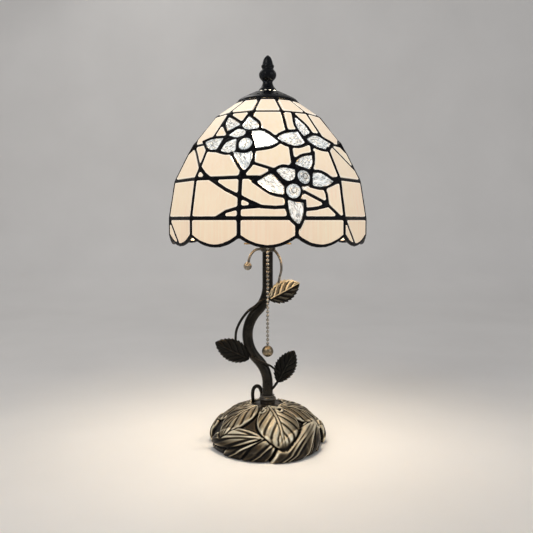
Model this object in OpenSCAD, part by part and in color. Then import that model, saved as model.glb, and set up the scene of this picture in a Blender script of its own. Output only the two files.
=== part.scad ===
// Stained glass table lamp: a twelve-sided leaded dome carried by a harp on
// a stem that winds like a vine, over a cast base of overlapping leaves.
// One unit is one millimetre. +Z is up and the table is at z = 0.

/* [Shade] */
// Corner radius of the twelve-sided skirt
skirt_r = 101.6; // [100:0.2:103]
// Height of the line where the skirt starts
skirt_z = 238; // [236:0.5:240]
// Drop of each scallop below its two corners
scallop_h = 9.4; // [7:0.2:11]
// Thickness of the flat glass
glass_t = 3; // [2.6:0.1:3.2]
// Width of the lead between two panes
came_w = 3.6; // [3.4:0.1:4]
// Radius of the round jewels
jewel_r = 6.5; // [6:0.1:6.6]

/* [Stem] */
// Outer radius of the stem tube
stem_r = 5.6; // [5:0.1:5.8]
// Radius of the bore that the wires run through
stem_bore_r = 3.6; // [3:0.1:4]
// Radius of the four bends that make the stem's S
bend_r = 37.5; // [36:0.5:39]
// Angle that each bend turns through
bend_deg = 44.35; // [42:0.05:46]

/* [Base] */
// Radius of the cast base at its rim
base_r = 60; // [58:0.5:62]
// Height of the casting
base_h = 41; // [40:0.5:44]
// Thickness of the casting's wall
base_wall = 4.5; // [3.5:0.1:5]

/* [Harp and socket] */
// Half the width of the harp's loop
harp_r = 32; // [31:0.1:32.4]
// Radius of the harp's wire
harp_wire_r = 1.6; // [1.4:0.1:1.7]
// Outer radius of the socket's brass shell
socket_r = 16.6; // [16.4:0.1:16.8]

/* [Bulb] */
// Radius of the bulb's round end
bulb_r = 24; // [23:0.5:24.5]
// Height of the centre of the bulb's round end
bulb_z = 311; // [308:0.5:312]

/* [Pull chain] */
// Radius of one bead
bead_r = 1.6; // [1.4:0.1:1.7]
// Distance from bead to bead
bead_pitch = 4.1; // [4:0.05:4.2]
// Radius of the ball at the chain's end
pull_ball_r = 5.9; // [5:0.1:6]

/* [Hidden] */

$fn = 48;

// Colours
bronze = [0.13, 0.10, 0.08];
gilt = [0.55, 0.45, 0.28];
black_metal = [0.05, 0.05, 0.06];
brass = [0.72, 0.58, 0.32];
steel = [0.62, 0.62, 0.64];
opal = [0.95, 0.88, 0.76];
clear_glass = [0.88, 0.92, 0.94];
felt_green = [0.16, 0.22, 0.17];

// Dome: corner radius and height of each horizontal line, from the top down
sides = 12;
turn = 360 / sides;
half = turn / 2;
rows = 5;
ring_r = [31.5, 53, 78, 95.5, skirt_r, skirt_r];
ring_z = [355.5, 340.5, 309.5, 275, skirt_z, skirt_z - 27];
repeats = 3;
repeat_deg = 360 / repeats;
came_r = came_w / 2;
pane_gap = came_r + 0.05;
petal_gap = came_w - 0.05;
lead_in_gap = 0.7;
lead_out = 3.1;
lead_apart = 3.8;
jewel_lead_w = 2;
solder_gap = 0.6;
branch_gap = 1;
came_t = glass_t + 1.4;
sliver = 1.3;
jewel_rise = 2.2;

// Flowers, in (angle, line) places on the dome: the angle runs round it in
// degrees and the line number runs down it, from 0 at the crown to 5 at the
// skirt's foot. A third number of 1 marks a sharp corner.
flower_petals = [
    [[-41.5, 1.15, 1], [-33, 1.28, 0], [-24.5, 1.44, 1], [-34, 1.64, 1], [-40.5, 1.38, 0]],
    [[-18, 1.16, 1], [-9, 1.42, 0], [-7.6, 1.62, 1], [-17.5, 1.6, 0], [-22, 1.5, 1]],
    [[-31, 1.79, 1], [-25.5, 1.61, 0], [-18, 1.66, 0], [-17, 1.8, 1], [-22, 1.87, 0]],
    [[-50.8, 1.98, 1], [-45, 1.87, 0], [-35, 1.88, 1], [-37, 2.2, 1], [-43.5, 2.16, 0]],
    [[-33.2, 2.24, 1], [-30.5, 2.02, 0], [-23.3, 1.93, 1], [-21.8, 2.27, 1], [-28, 2.29, 0]],
    [[-23, 2.32, 1], [-15, 2.34, 0], [-10.3, 2.3, 1], [-10.3, 2.58, 0], [-13.4, 2.81, 1],
     [-19, 2.54, 0]],
    [[-12.3, 1.7, 1], [-2.8, 1.71, 0], [7.3, 2.02, 1], [1.6, 2.15, 0], [-7.3, 2.21, 1],
     [-9, 2, 0]]
];
bud_petals = [
    [[7.2, 1.91, 1], [14, 1.74, 0], [24, 1.7, 1], [26.6, 2.04, 1], [20, 2.12, 0], [13, 2.08, 0]],
    [[27.5, 1.18, 1], [34, 1.45, 0], [35.6, 1.68, 1], [28.2, 1.81, 1], [25.4, 1.5, 0]],
    [[29.8, 1.92, 1], [40.5, 1.77, 0], [50.4, 2.03, 1], [42.5, 2.17, 0], [33.6, 2.08, 0]]
];
blossom_petals = [
    [[15.8, 2.65, 1], [21.4, 2.46, 0], [29.9, 2.38, 1], [28.2, 2.6, 0], [24.9, 2.77, 1],
     [20.5, 2.71, 0]],
    [[5.2, 2.82, 1], [9, 2.75, 0], [15.3, 2.81, 1], [14.7, 3, 0], [11.8, 3.1, 1], [9, 3.03, 0]],
    [[-6, 3.11, 1], [1.8, 2.91, 1], [8.8, 3.24, 1], [8.6, 3.42, 1], [2, 3.35, 0]],
    [[27.4, 2.88, 1], [33, 2.88, 0], [40.4, 3.08, 1], [32.7, 3.21, 0], [26.4, 3.18, 1]],
    [[10.7, 3.56, 1], [15, 3.62, 0], [18.8, 3.63, 1], [18.5, 3.88, 0], [16.1, 4.2, 1],
     [12, 3.93, 0]]
];
jewel_places = [[-15.2, 2.09], [20.4, 2.99], [13.9, 3.34]];
vines = [
    [[-68, 2.06], [-58, 2.3], [-45, 2.69], [-40, 2.88], [-35.5, 3], [-24, 3.29], [-15, 3.47],
     [-3.5, 3.72], [3.5, 3.74], [9, 3.73]],
    [[-29, 4], [-22.8, 3.84], [-15, 3.75], [-4.5, 3.71]],
    [[-9.8, 2.61], [-4, 2.69], [3.6, 2.8]],
    [[19, 3.33], [34, 3.63], [43, 4]],
    [[20, 3.79], [27, 3.76], [35.3, 3.68]],
    [[33.5, 3.24], [34.8, 3.4], [35.1, 3.66]],
    [[31.6, 2.12], [30.6, 2.38]],
    [[26, 1], [26.3, 1.09]],
    [[-18, 1], [-18, 1.14]]
];
// Stretches of the folds that show as lead: [angle, from line, to line]
rib_stretches = [
    [-45, 0, 1.84], [-45, 2.2, 5], [-15, 0, 1.12], [-15, 2.86, 5], [15, 0, 1.7],
    [15, 2.14, 2.62], [15, 4.24, 5], [45, 0, 1.78], [45, 2.14, 5]
];
// [line, from angle, to angle]
hoop_stretches = [
    [0, -75, 45], [1, -75, 45], [2, -66.5, -52.8], [3, -75, -5.5], [3, 41.5, 45],
    [4, -75, 11.5], [4, 19.8, 45]
];

// Stem, from the table up
collar_top = 50.4;
stem_foot_z = base_h + 0.2;
bend_rise = bend_r * sin(bend_deg);
bend_shift = bend_r * (1 - cos(bend_deg));
bends_low_z = 62.2;
bends_high_z = bends_low_z + 4 * bend_rise;
stem_shoulder_z = 203;
thread_r = 4.75;
thread_top_z = 218;
thread_low_z = 30;
thread_hole_r = thread_r + 0.05;
cup_r = 8.3;
cup_top = 208;
spacer_h = 3;
spacer_r = 9;
tendril_r = 1.3;
vine_r = 1.4;

// Routes of the rods that wind round the stem
tendril_left_path = [[-6.5, -2, 206], [-12, -4, 205.5], [-16.4, -5, 202], [-19.2, -5.5, 196.5],
    [-20.4, -5.5, 190]];
tendril_left_ball = [-20.9, -5.5, 188.2];
tendril_ball_r = 4.3;
tendril_right_path = [[6, -3, 206], [10.5, -4.5, 200.5], [13.7, -6, 193.3], [14.3, -7, 184.5],
    [12.4, -7.4, 176.5], [11.3, -7.5, 170]];
vine_mid_path = [[3, -7.2, 154.5], [-6.7, -7, 151.7], [-13.2, -6.6, 146.2], [-20.6, -5.5, 140.7],
    [-28.2, -4.5, 130.8], [-33, -4.5, 120], [-34, -4.8, 109]];
vine_lower_path = [[-17, -6.6, 92.5], [-10, -6.9, 88.6], [-3, -6.4, 85.2], [3, -5.5, 82.6],
    [8, -4.6, 78.4], [13, -4.4, 74]];
curl_path = [[-6, 6, 44.5], [-6.4, 7, 51.5], [-9, 7.8, 56.6], [-12.4, 8, 57.4], [-15.2, 8, 54.4],
    [-16.2, 8, 48.5], [-15.4, 8, 40]];
curl_r = 2.2;

// Leaves: [foot of the blade, length, widest, direction in degrees]
leaf_upper_at = [[1.5, -7.3, 153], 36.5, 22.5, 29];
leaf_left_at = [[-19.5, -6.8, 90], 40, 23.5, 153.5];
leaf_lower_at = [[10.5, -4.6, 64.5], 38.5, 21.5, 62.5];
leaf_t = 1.4;
leaf_fold = 14;
leaf_lap = 0.6;
leaf_steps = 8;

// Base
dome_foot_z = 8;
dome_top_r = 9.5;
dome_power = 1.15;
dome_steps = 10;
casting_foot_z = 1;
plate_r = base_r - 6.2;
plate_t = 1.2;
felt_t = 1.2;
felt_r = plate_r - 0.4;
plate_top = felt_t + plate_t;
boss_r = 4.5;
boss_at = 45;
screws = 3;
screw_r = 1.9;
screw_len = 12;
screw_head_r = 3.8;
screw_sunk = 0.4;
weight_r = 37;
weight_hole_r = 12;
weight_h = 15;
bushing_z = 11;
bushing_r = 4.9;
cord_r = 3.5;

// Harp and socket stack
saddle_x = 20;
saddle_t = 1.6;
saddle_w = 10;
saddle_low = cup_top + spacer_h;
saddle_post_top = 222;
ferrule_r = 2.6;
ferrule_low = 218;
ferrule_h = 12;
harp_bend_deg = acos(1 - (harp_r - saddle_x) / 60);
harp_bend_r = 30;
harp_low_z = 236;
harp_side_z = harp_low_z + 2 * harp_bend_r * sin(harp_bend_deg);
harp_top_z = 364;
cap_floor = saddle_low + saddle_t;
cap_top = 224;
shell_wall = 0.6;
shell_low = 221;
shell_top = 262;
insulator_low = 222;
insulator_top = 242;
insulator_r = 14.4;
screw_shell_r = 13.8;
screw_wall = 0.5;

// Bulb
bulb_neck_r = 12.4;
bulb_neck_z = 272;
bulb_foot_z = 264;

// Cap and finial
stud_r = 3.1;
stud_top = 383;
boss_low = 362;
boss_top = 367.5;
washer_top = 368.5;
cap_peak = 369.9;
finial_foot = 370;
finial_top = 406.3;

// Pull chain
chain_y = -21.5;
bead_top_z = 232.4;
stub_beads = 4;
upper_beads = 13;
lower_beads = 14;
wire_r = 0.45;
lever_pivot = [0, -9.5, 230];
lever_pin_r = 1;
lever_pin_half = 6;
lever_half_w = 2.3;
fork_gap = 0.9;
lever_slot = 3;
bell_r = 5.2;
bell_low = 218.5;
bell_top = 237;

// ---------------------------------------------------------------- helpers
function mix(a, b, t) = a + (b - a) * t;
function unit(v) = v / norm(v);
function total(list) = [for (item = list) 1] * list;
function middle(points) = [for (k = [0:2]) total([for (p = points) p[k]]) / len(points)];
function flat(lists) = [for (list = lists) for (item = list) item];

// A point of the dome's faceted surface at an angle and a line number
function on_dome(place) =
    let (row = min(rows - 1, floor(place[1])), t = place[1] - row,
         local = place[0] - turn * round(place[0] / turn),
         r = mix(ring_r[row], ring_r[row + 1], t) * cos(half) / cos(local))
    [r * sin(place[0]), -r * cos(place[0]), mix(ring_z[row], ring_z[row + 1], t)];

// A closed outline through marked corners, curved wherever a corner is soft
function curved(marks, steps = 3) =
    let (n = len(marks), at = [for (m = marks) [m[0], m[1]]])
    [for (k = [0:n - 1])
        let (p0 = at[(k + n - 1) % n], p1 = at[k], p2 = at[(k + 1) % n], p3 = at[(k + 2) % n],
             m1 = marks[k][2] == 1 ? (p2 - p1) * 0.6 : (p2 - p0) / 2,
             m2 = marks[(k + 1) % n][2] == 1 ? (p2 - p1) * 0.6 : (p3 - p1) / 2,
             bow = marks[k][2] == 1 && marks[(k + 1) % n][2] == 1 ? 0 : 1)
        for (s = [0:bow == 1 ? steps - 1 : 0])
            let (t = s / steps, tt = t * t, ttt = tt * t)
            p1 * (2 * ttt - 3 * tt + 1) + m1 * (ttt - 2 * tt + t)
            + p2 * (3 * tt - 2 * ttt) + m2 * (ttt - tt)];

function petal_points(marks) = [for (place = curved(marks)) on_dome(place)];

// Flat plane through a ring of points, as [x axis, y axis, normal, centre]
function best_plane(points) =
    let (n = len(points), c = middle(points),
         raw = total([for (k = [0:n - 1]) cross(points[k] - c, points[(k + 1) % n] - c)]),
         out = raw * [c[0], c[1], 0] < 0 ? -unit(raw) : unit(raw),
         x = unit(cross([0, 0, 1], out)))
    [x, cross(out, x), out, c];

// Plane of one facet, with its centre at the middle of the lower edge
function facet_plane(col, row) =
    let (a = col * turn, e = [sin(a), -cos(a), 0], x = [cos(a), sin(a), 0],
         up = unit((ring_r[row] - ring_r[row + 1]) * cos(half) * e
                   + [0, 0, ring_z[row] - ring_z[row + 1]]))
    [x, up, cross(x, up), ring_r[row + 1] * cos(half) * e + [0, 0, ring_z[row + 1]]];

function in_plane(plane, p) = [(p - plane[3]) * plane[0], (p - plane[3]) * plane[1]];
function seen_in(plane, points) = [for (p = points) in_plane(plane, p)];

module on_plane(plane) {
    multmatrix([for (k = [0:2]) [plane[0][k], plane[1][k], plane[2][k], plane[3][k]]])
        children();
}

module plate(plane, thick) {
    on_plane(plane)
        translate([0, 0, -thick / 2])
            linear_extrude(thick) children();
}

module thrice() {
    for (k = [0:repeats - 1])
        rotate(k * repeat_deg) children();
}

module ring(outer, inner, low, high) {
    translate([0, 0, low])
        difference() {
            cylinder(r = outer, h = high - low);
            translate([0, 0, -1]) cylinder(r = inner, h = high - low + 2);
        }
}

// Smooth route through a few points
function route(points, steps = 3) =
    let (n = len(points))
    concat([for (k = [0:n - 2], s = [0:steps - 1])
        let (p0 = points[max(k - 1, 0)], p1 = points[k], p2 = points[k + 1],
             p3 = points[min(k + 2, n - 1)], t = s / steps, tt = t * t, ttt = tt * t)
        (2 * p1 + (p2 - p0) * t + (2 * p0 - 5 * p1 + 4 * p2 - p3) * tt
         + (3 * p1 - p0 - 3 * p2 + p3) * ttt) / 2], [points[n - 1]]);

// Round rod swept along a route that never runs the same way as aside
module rod(path, r0, r1, edge = 8, aside = [0, 1, 0]) {
    n = len(path);
    rings = [for (k = [0:n - 1])
        let (along = unit(path[min(k + 1, n - 1)] - path[max(k - 1, 0)]),
             side = unit(cross(along, aside)), up = cross(side, along),
             r = mix(r0, r1, k / (n - 1)))
        [for (s = [0:edge - 1])
            path[k] + r * (side * cos(360 * s / edge) + up * sin(360 * s / edge))]];
    walls = [for (k = [0:n - 2], s = [0:edge - 1])
        let (t = (s + 1) % edge)
        [k * edge + s, k * edge + t, (k + 1) * edge + t, (k + 1) * edge + s]];
    polyhedron(flat(rings), concat(walls,
        [[for (s = [edge - 1:-1:0]) s]],
        [[for (s = [0:edge - 1]) (n - 1) * edge + s]]), convexity = 6);
}

// ---------------------------------------------------------------- glass
module petal_blank(plane, marks, grow) {
    offset(delta = grow)
        polygon(seen_in(plane, petal_points(marks)));
}

module petal_set(petals) {
    color(clear_glass)
        thrice()
            for (marks = petals) {
                plane = best_plane(petal_points(marks));
                plate(plane, glass_t) polygon(seen_in(plane, petal_points(marks)));
            }
}

function jewel_plane(place) =
    best_plane([for (k = [0:5])
        on_dome([place[0] + 4 * cos(60 * k), place[1] + 0.16 * sin(60 * k)])]);

module jewels() {
    rim = glass_t - 1;
    bow = (jewel_r * jewel_r + jewel_rise * jewel_rise) / (2 * jewel_rise);
    color(clear_glass)
        thrice()
            for (place = jewel_places)
                on_plane(jewel_plane(place)) {
                    translate([0, 0, -rim]) cylinder(r = jewel_r, h = 2 * rim);
                    translate([0, 0, rim - 0.01])
                        intersection() {
                            cylinder(r = jewel_r, h = jewel_rise + 1);
                            translate([0, 0, jewel_rise - bow]) sphere(r = bow);
                        }
                }
}

// All the flower and vine lead that a facet's background glass makes room for
module lead_in(plane, shift) {
    petals = concat(flower_petals, bud_petals, blossom_petals);
    for (marks = petals)
        offset(delta = petal_gap)
            polygon(seen_in(plane, [for (p = petal_points(marks)) spun(p, shift)]));
    for (place = jewel_places)
        translate(in_plane(plane, spun(on_dome(place), shift)))
            circle(r = jewel_r + petal_gap, $fn = 24);
    for (vine = vines)
        for (k = [0:len(vine) - 2]) {
            a = in_plane(plane, spun(on_dome(vine[k]), shift));
            b = in_plane(plane, spun(on_dome(vine[k + 1]), shift));
            translate(a) circle(r = pane_gap, $fn = 12);
            translate(b) circle(r = pane_gap, $fn = 12);
            translate(a)
                rotate(atan2(b[1] - a[1], b[0] - a[0]))
                    translate([0, -pane_gap]) square([norm(b - a), 2 * pane_gap]);
        }
}

function spun(p, a) = [p[0] * cos(a) - p[1] * sin(a), p[0] * sin(a) + p[1] * cos(a), p[2]];

module facet_blank(row) {
    high = norm([(ring_r[row] - ring_r[row + 1]) * cos(half), ring_z[row] - ring_z[row + 1]]);
    low_w = ring_r[row + 1] * sin(half);
    top_w = ring_r[row] * sin(half);
    offset(delta = -pane_gap)
        if (row < rows - 1)
            polygon([[-low_w, 0], [low_w, 0], [top_w, high], [-top_w, high]]);
        else
            scalloped(low_w, high);
}

// Skirt outline: straight sides and a round foot that hangs to y = 0
module scalloped(w, high) {
    bow = (w * w + scallop_h * scallop_h) / (2 * scallop_h);
    reach = asin(w / bow);
    polygon(concat([[w, high], [-w, high]],
        [for (a = [-reach:reach / 8:reach + 0.01]) [bow * sin(a), bow - bow * cos(a)]]));
}

// Background glass of one row, cut round the flowers and the vines
module glass_row(row) {
    color(opal)
        thrice()
            for (col = [-2:1]) {
                plane = facet_plane(col, row);
                plate(plane, glass_t)
                    offset(r = sliver, $fn = 12) offset(delta = -sliver)
                        pane_outlines(plane, row, col);
            }
}

// One facet less the room for its lead
module pane_outlines(plane, row, col) {
    difference() {
        facet_blank(row);
        if (row > 0) {
            lead_in(plane, 0);
            lead_in(plane, -repeat_deg);
        }
        if (row == rows - 1 && col == -2) skirt_diagonal();
    }
}

// The plain column's skirt pane is split from its upper corner to its foot
module skirt_diagonal() {
    high = ring_z[rows - 1] - ring_z[rows];
    w = skirt_r * sin(half);
    rotate(atan2(high, -w))
        translate([0, -pane_gap]) square([norm([w, high]) + 5, 2 * pane_gap]);
}

module glass_crown() { glass_row(0); }
module glass_upper() { glass_row(1); }
module glass_middle() { glass_row(2); }
module glass_lower() { glass_row(3); }
module glass_skirt() { glass_row(4); }
module petals_flower() { petal_set(flower_petals); }
module petals_bud() { petal_set(bud_petals); }
module petals_blossom() { petal_set(blossom_petals); }

// ---------------------------------------------------------------- lead
// Bar of lead between two points, a little short of both for the solder
module lead_bar(p, q, short) {
    along = unit(q - p);
    translate(p + short * along)
        rotate([0, acos(along[2]), atan2(along[1], along[0])])
            cylinder(r = came_r, h = norm(q - p) - 2 * short);
}

module came_ribs() {
    color(black_metal)
        thrice()
            for (rib = rib_stretches, row = [0:rows - 1]) {
                from = max(rib[1], row);
                to = min(rib[2], row + (row == rows - 1 ? 0.62 : 1));
                if (to - from > 0.1)
                    lead_bar(on_dome([rib[0], from]), on_dome([rib[0], to]), solder_gap);
            }
}

module came_hoops() {
    color(black_metal)
        thrice() {
            for (hoop = hoop_stretches, corner = [-75:turn:15]) {
                from = max(hoop[1], corner);
                to = min(hoop[2], corner + turn);
                if (to - from > 1)
                    lead_bar(on_dome([from, hoop[0]]), on_dome([to, hoop[0]]), solder_gap);
            }
            for (col = [-2:1]) skirt_edge(col);
        }
}

// Lead along the scallop of one skirt pane
module skirt_edge(col) {
    high = ring_z[rows - 1] - ring_z[rows];
    w = skirt_r * sin(half);
    plate(facet_plane(col, rows - 1), came_w)
        difference() {
            scalloped(w, high);
            offset(delta = -came_r) scalloped(w, high);
            translate([-w, scallop_h + 1]) square([2 * w, high]);
            for (side = [-1, 1])
                translate([side * w, 0]) square([2 * solder_gap, 2 * high], center = true);
        }
}

// Lead round the petals: each one gives way to the lead of those before it
module came_petals() {
    petals = concat(flower_petals, bud_petals, blossom_petals);
    color(black_metal)
        thrice()
            for (k = [0:len(petals) - 1]) {
                plane = best_plane(petal_points(petals[k]));
                plate(plane, came_t)
                    difference() {
                        petal_blank(plane, petals[k], lead_out);
                        for (j = [0:len(petals) - 1])
                            petal_blank(plane, petals[j], j < k ? lead_apart : lead_in_gap);
                        for (place = jewel_places)
                            translate(in_plane(plane, on_dome(place)))
                                circle(r = jewel_r + lead_in_gap);
                    }
            }
}

module came_vines() {
    color(black_metal)
        thrice() {
            for (vine = vines, k = [0:len(vine) - 2])
                lead_bar(on_dome(vine[k]), on_dome(vine[k + 1]), branch_gap);
            lead_bar(on_dome([-75, rows - 1]), on_dome([-60, rows]), 3 * branch_gap);
        }
}

module came_jewels() {
    color(black_metal)
        thrice()
            for (place = jewel_places)
                on_plane(jewel_plane(place))
                    ring(jewel_r + jewel_lead_w, jewel_r + 0.2, -came_t / 2, came_t / 2);
}

// ---------------------------------------------------------------- crown
module crown_ring() {
    color(brass) ring(28.2, 26.2, 353.5, 356.5);
}

module vase_cap() {
    vents = 16;
    color(black_metal)
        difference() {
            rotate_extrude()
                polygon([
                    [stud_r + 0.1, washer_top + 0.2], [stud_r + 0.1, cap_peak], [9.6, cap_peak],
                    [13.9, 368.3], [20.4, 365.2], [27.4, 361.8], [30.3, 359.8], [31.2, 358.6],
                    [31, 357.7], [29.6, 357.7], [29.3, 358.8], [26.8, 360.5], [19.9, 363.9],
                    [13.4, 367], [9.4, washer_top + 0.2]
                ]);
            for (k = [0:vents - 1]) {
                rotate(k * 360 / vents)
                    translate([24.6, 0, 355]) cylinder(r = 1.6, h = 15, $fn = 24);
                rotate((k + 0.5) * 360 / vents)
                    translate([12.3, 0, 360]) cylinder(r = 1.1, h = 15, $fn = 24);
            }
        }
}

function swell(r0, r1, z0, z1, bulge, n = 8) =
    [for (k = [0:n - 1])
        [mix(r0, r1, k / n) + bulge * sin(180 * k / n), mix(z0, z1, k / n)]];

module finial() {
    acorn_z = 392.6;
    tip_r = 5.1;
    tip_z = 398.7;
    color(black_metal)
        difference() {
            rotate_extrude()
                polygon(concat(
                    [[0, finial_foot], [9.1, finial_foot]],
                    swell(9.1, 5.3, finial_foot + 0.8, 377.6, -1.1),
                    swell(5.3, 5.9, 377.6, acorn_z, 3.5),
                    swell(5.9, tip_r, acorn_z, tip_z, 1.3),
                    [for (k = [0:9]) [tip_r * pow(cos(9 * k), 0.8),
                                      mix(tip_z, finial_top, sin(9 * k))]],
                    [[0, finial_top]]));
            translate([0, 0, finial_foot - 1])
                cylinder(r = stud_r + 0.05, h = stud_top - finial_foot + 1.5);
        }
}

// ---------------------------------------------------------------- harp
function arc_xz(x, z, r, from, to, steps) =
    [for (k = [0:steps]) let (a = mix(from, to, k / steps)) [x + r * cos(a), 0, z + r * sin(a)]];

// One wire, up one side, over the top and down the other
module harp_loop() {
    side = concat([[saddle_x, 0, saddle_post_top + 0.1]],
        arc_xz(saddle_x + harp_bend_r, harp_low_z, harp_bend_r, 180, 180 - harp_bend_deg, 4),
        arc_xz(harp_r - harp_bend_r, harp_side_z, harp_bend_r, -harp_bend_deg + 9, 0, 3));
    over = arc_xz(0, harp_top_z - harp_r, harp_r, 0, 180, 20);
    back = [for (k = [len(side) - 1:-1:0]) [-side[k][0], 0, side[k][2]]];
    color(brass) rod(concat(side, over, back), harp_wire_r, harp_wire_r, 12);
}

module harp_stud() {
    color(brass) {
        translate([0, 0, boss_low]) cylinder(r = 5, h = boss_top - boss_low);
        translate([0, 0, boss_low]) cylinder(r = stud_r, h = stud_top - boss_low);
    }
}

module harp_washer() {
    color(steel) ring(8, stud_r + 0.05, boss_top, washer_top);
}

module harp_saddle() {
    color(brass)
        difference() {
            union() {
                translate([-saddle_x, -saddle_w / 2, saddle_low])
                    cube([2 * saddle_x, saddle_w, saddle_t]);
                for (side = [-1, 1])
                    translate([side * saddle_x, 0, saddle_low]) {
                        cylinder(r = saddle_w / 2, h = saddle_t);
                        cylinder(r = harp_wire_r, h = saddle_post_top - saddle_low, $fn = 24);
                    }
            }
            translate([0, 0, saddle_low - 1]) cylinder(r = thread_hole_r, h = saddle_t + 2);
        }
}

module harp_ferrules() {
    color(brass)
        for (side = [-1, 1])
            translate([side * saddle_x, 0, 0])
                ring(ferrule_r, harp_wire_r + 0.1, ferrule_low, ferrule_low + ferrule_h);
}

// ---------------------------------------------------------------- socket
module socket_cap() {
    outer = socket_r + 0.7;
    color(brass)
        rotate_extrude()
            polygon([
                [thread_hole_r, cap_floor], [10, cap_floor], [13, cap_floor + 1.4],
                [16, cap_floor + 4], [outer, cap_floor + 7], [outer, cap_top],
                [outer - shell_wall, cap_top], [outer - shell_wall, cap_floor + 7.2],
                [15.4, cap_floor + 4.4], [12.6, cap_floor + 2], [9.8, cap_floor + 1],
                [thread_hole_r, cap_floor + 1]
            ]);
}

module socket_nut() {
    color(steel)
        translate([0, 0, cap_floor + 1])
            difference() {
                cylinder(r = 8, h = 3, $fn = 6);
                translate([0, 0, -1]) cylinder(r = thread_hole_r, h = 5);
            }
}

module lever_window(r_in, r_out) {
    translate([-lever_slot, -r_out - 1, insulator_low + 1])
        cube([2 * lever_slot, r_out - r_in + 8, 13]);
}

module socket_shell() {
    color(brass)
        difference() {
            ring(socket_r, socket_r - shell_wall, shell_low, shell_top);
            lever_window(socket_r - shell_wall, socket_r);
        }
}

module socket_liner() {
    outer = socket_r - shell_wall - 0.05;
    color([0.72, 0.62, 0.45])
        difference() {
            ring(outer, outer - 1, shell_low + 0.5, shell_top - 0.5);
            lever_window(outer - 1, outer);
        }
}

module socket_insulator() {
    color([0.08, 0.07, 0.07])
        difference() {
            translate([0, 0, insulator_low])
                cylinder(r = insulator_r, h = insulator_top - insulator_low);
            translate([-lever_slot, -insulator_r - 1, insulator_low + 1])
                cube([2 * lever_slot, insulator_r - 3.5, 13]);
            translate(lever_pivot)
                rotate([0, 90, 0])
                    cylinder(r = lever_pin_r + 0.05, h = 2 * lever_pin_half + 1, center = true,
                             $fn = 24);
        }
}

module screw_shell() {
    color([0.78, 0.78, 0.8])
        ring(screw_shell_r, screw_shell_r - screw_wall, insulator_top, shell_top - 1);
}

module centre_contact() {
    color(brass)
        translate([0, 0, insulator_top]) {
            cylinder(r = 5, h = 0.8);
            cylinder(r = 2.5, h = 2.2);
        }
}

module chain_bell() {
    color(brass)
        difference() {
            union() {
                translate([0, chain_y, bell_low])
                    cylinder(r = bell_r, h = bell_top - bell_low);
                translate([0, chain_y, bell_top]) sphere(r = bell_r);
                translate([-bell_r, chain_y, bell_low + 9])
                    cube([2 * bell_r, -socket_r - chain_y + 3, bell_top - bell_low - 9]);
            }
            cylinder(r = socket_r + 0.75, h = 300);
            translate([0, chain_y, bell_low - 1])
                cylinder(r = bell_r - 0.9, h = bell_top - bell_low + 1);
            translate([-lever_slot, chain_y, bell_low - 1])
                cube([2 * lever_slot, 12, bell_top - bell_low - 1]);
        }
}

// Forked arm that the chain pulls down; its pin turns in the insulator
module switch_lever() {
    arm = [chain_y - 2.6, lever_pivot[1]];
    color(brass)
        difference() {
            union() {
                translate(lever_pivot)
                    rotate([0, 90, 0])
                        cylinder(r = lever_pin_r, h = 2 * lever_pin_half, center = true, $fn = 24);
                translate(lever_pivot)
                    rotate([0, 90, 0])
                        cylinder(r = 2.2, h = 2.4, center = true, $fn = 24);
                translate([-lever_half_w, arm[0], lever_pivot[2] - 0.6])
                    cube([2 * lever_half_w, arm[1] - arm[0] - 3.5, 1.2]);
                translate([-1.2, arm[1] - 6, lever_pivot[2] - 0.6]) cube([2.4, 6, 1.2]);
            }
            translate([-fork_gap, arm[0] - 1, lever_pivot[2] - 2]) cube([2 * fork_gap, 7, 4]);
        }
}

module switch_spring() {
    turns = 2.5;
    steps = 12;
    coil_r = 1.75;
    wire = 0.25;
    n = turns * steps;
    color(steel)
        rod([for (k = [0:n])
            lever_pivot + [1.5 + 1.1 * k / n, coil_r * cos(k * 360 / steps),
                           coil_r * sin(k * 360 / steps)]], wire, wire, 6, [1, 0, 0]);
}

// ---------------------------------------------------------------- chain
function bead_z(k) = bead_top_z - bead_pitch * k;

// Beads from one number up to the next on one wire that reaches half a pitch
// past both ends, less a small gap where the next length is hooked on. The
// place of one bead may stay bare.
module beads(first, count, tail, bare = -1) {
    high = bead_z(first) + (first == 0 ? 0 : bead_pitch / 2 - 0.25);
    low = bead_z(first + count - 1) - bead_pitch / 2 + tail;
    color(brass)
        translate([0, chain_y, 0]) {
            for (k = [first:first + count - 1])
                if (k != bare)
                    translate([0, 0, bead_z(k)]) sphere(r = bead_r, $fn = 24);
            translate([0, 0, low]) cylinder(r = wire_r, h = high - low, $fn = 16);
        }
}

module chain_stub() { beads(0, stub_beads, 0.25, 1); }
module chain_upper() { beads(stub_beads, upper_beads, 0.25); }
module chain_lower() { beads(stub_beads + upper_beads, lower_beads, 0); }

module pull_ball() {
    top = bead_z(stub_beads + upper_beads + lower_beads - 1) - bead_pitch / 2;
    color(gilt)
        translate([0, chain_y, top - pull_ball_r]) {
            sphere(r = pull_ball_r);
            cylinder(r = 1.5, h = pull_ball_r, $fn = 24);
        }
}

// ---------------------------------------------------------------- bulb
function bulb_outline(inset) =
    let (r = bulb_r - inset, neck = bulb_neck_r - inset,
         gap = norm([neck, bulb_z - bulb_neck_z]),
         lean = acos(r / gap) - atan2(bulb_z - bulb_neck_z, neck))
    concat([[0, bulb_foot_z + inset], [neck, bulb_foot_z + inset], [neck, bulb_neck_z]],
        [for (k = [0:12]) let (a = mix(lean, 90, k / 12)) [r * cos(a), bulb_z + r * sin(a)]]);

module bulb_glass() {
    color(clear_glass)
        rotate_extrude()
            difference() {
                polygon(bulb_outline(0));
                polygon(bulb_outline(0.9));
            }
}

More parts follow.
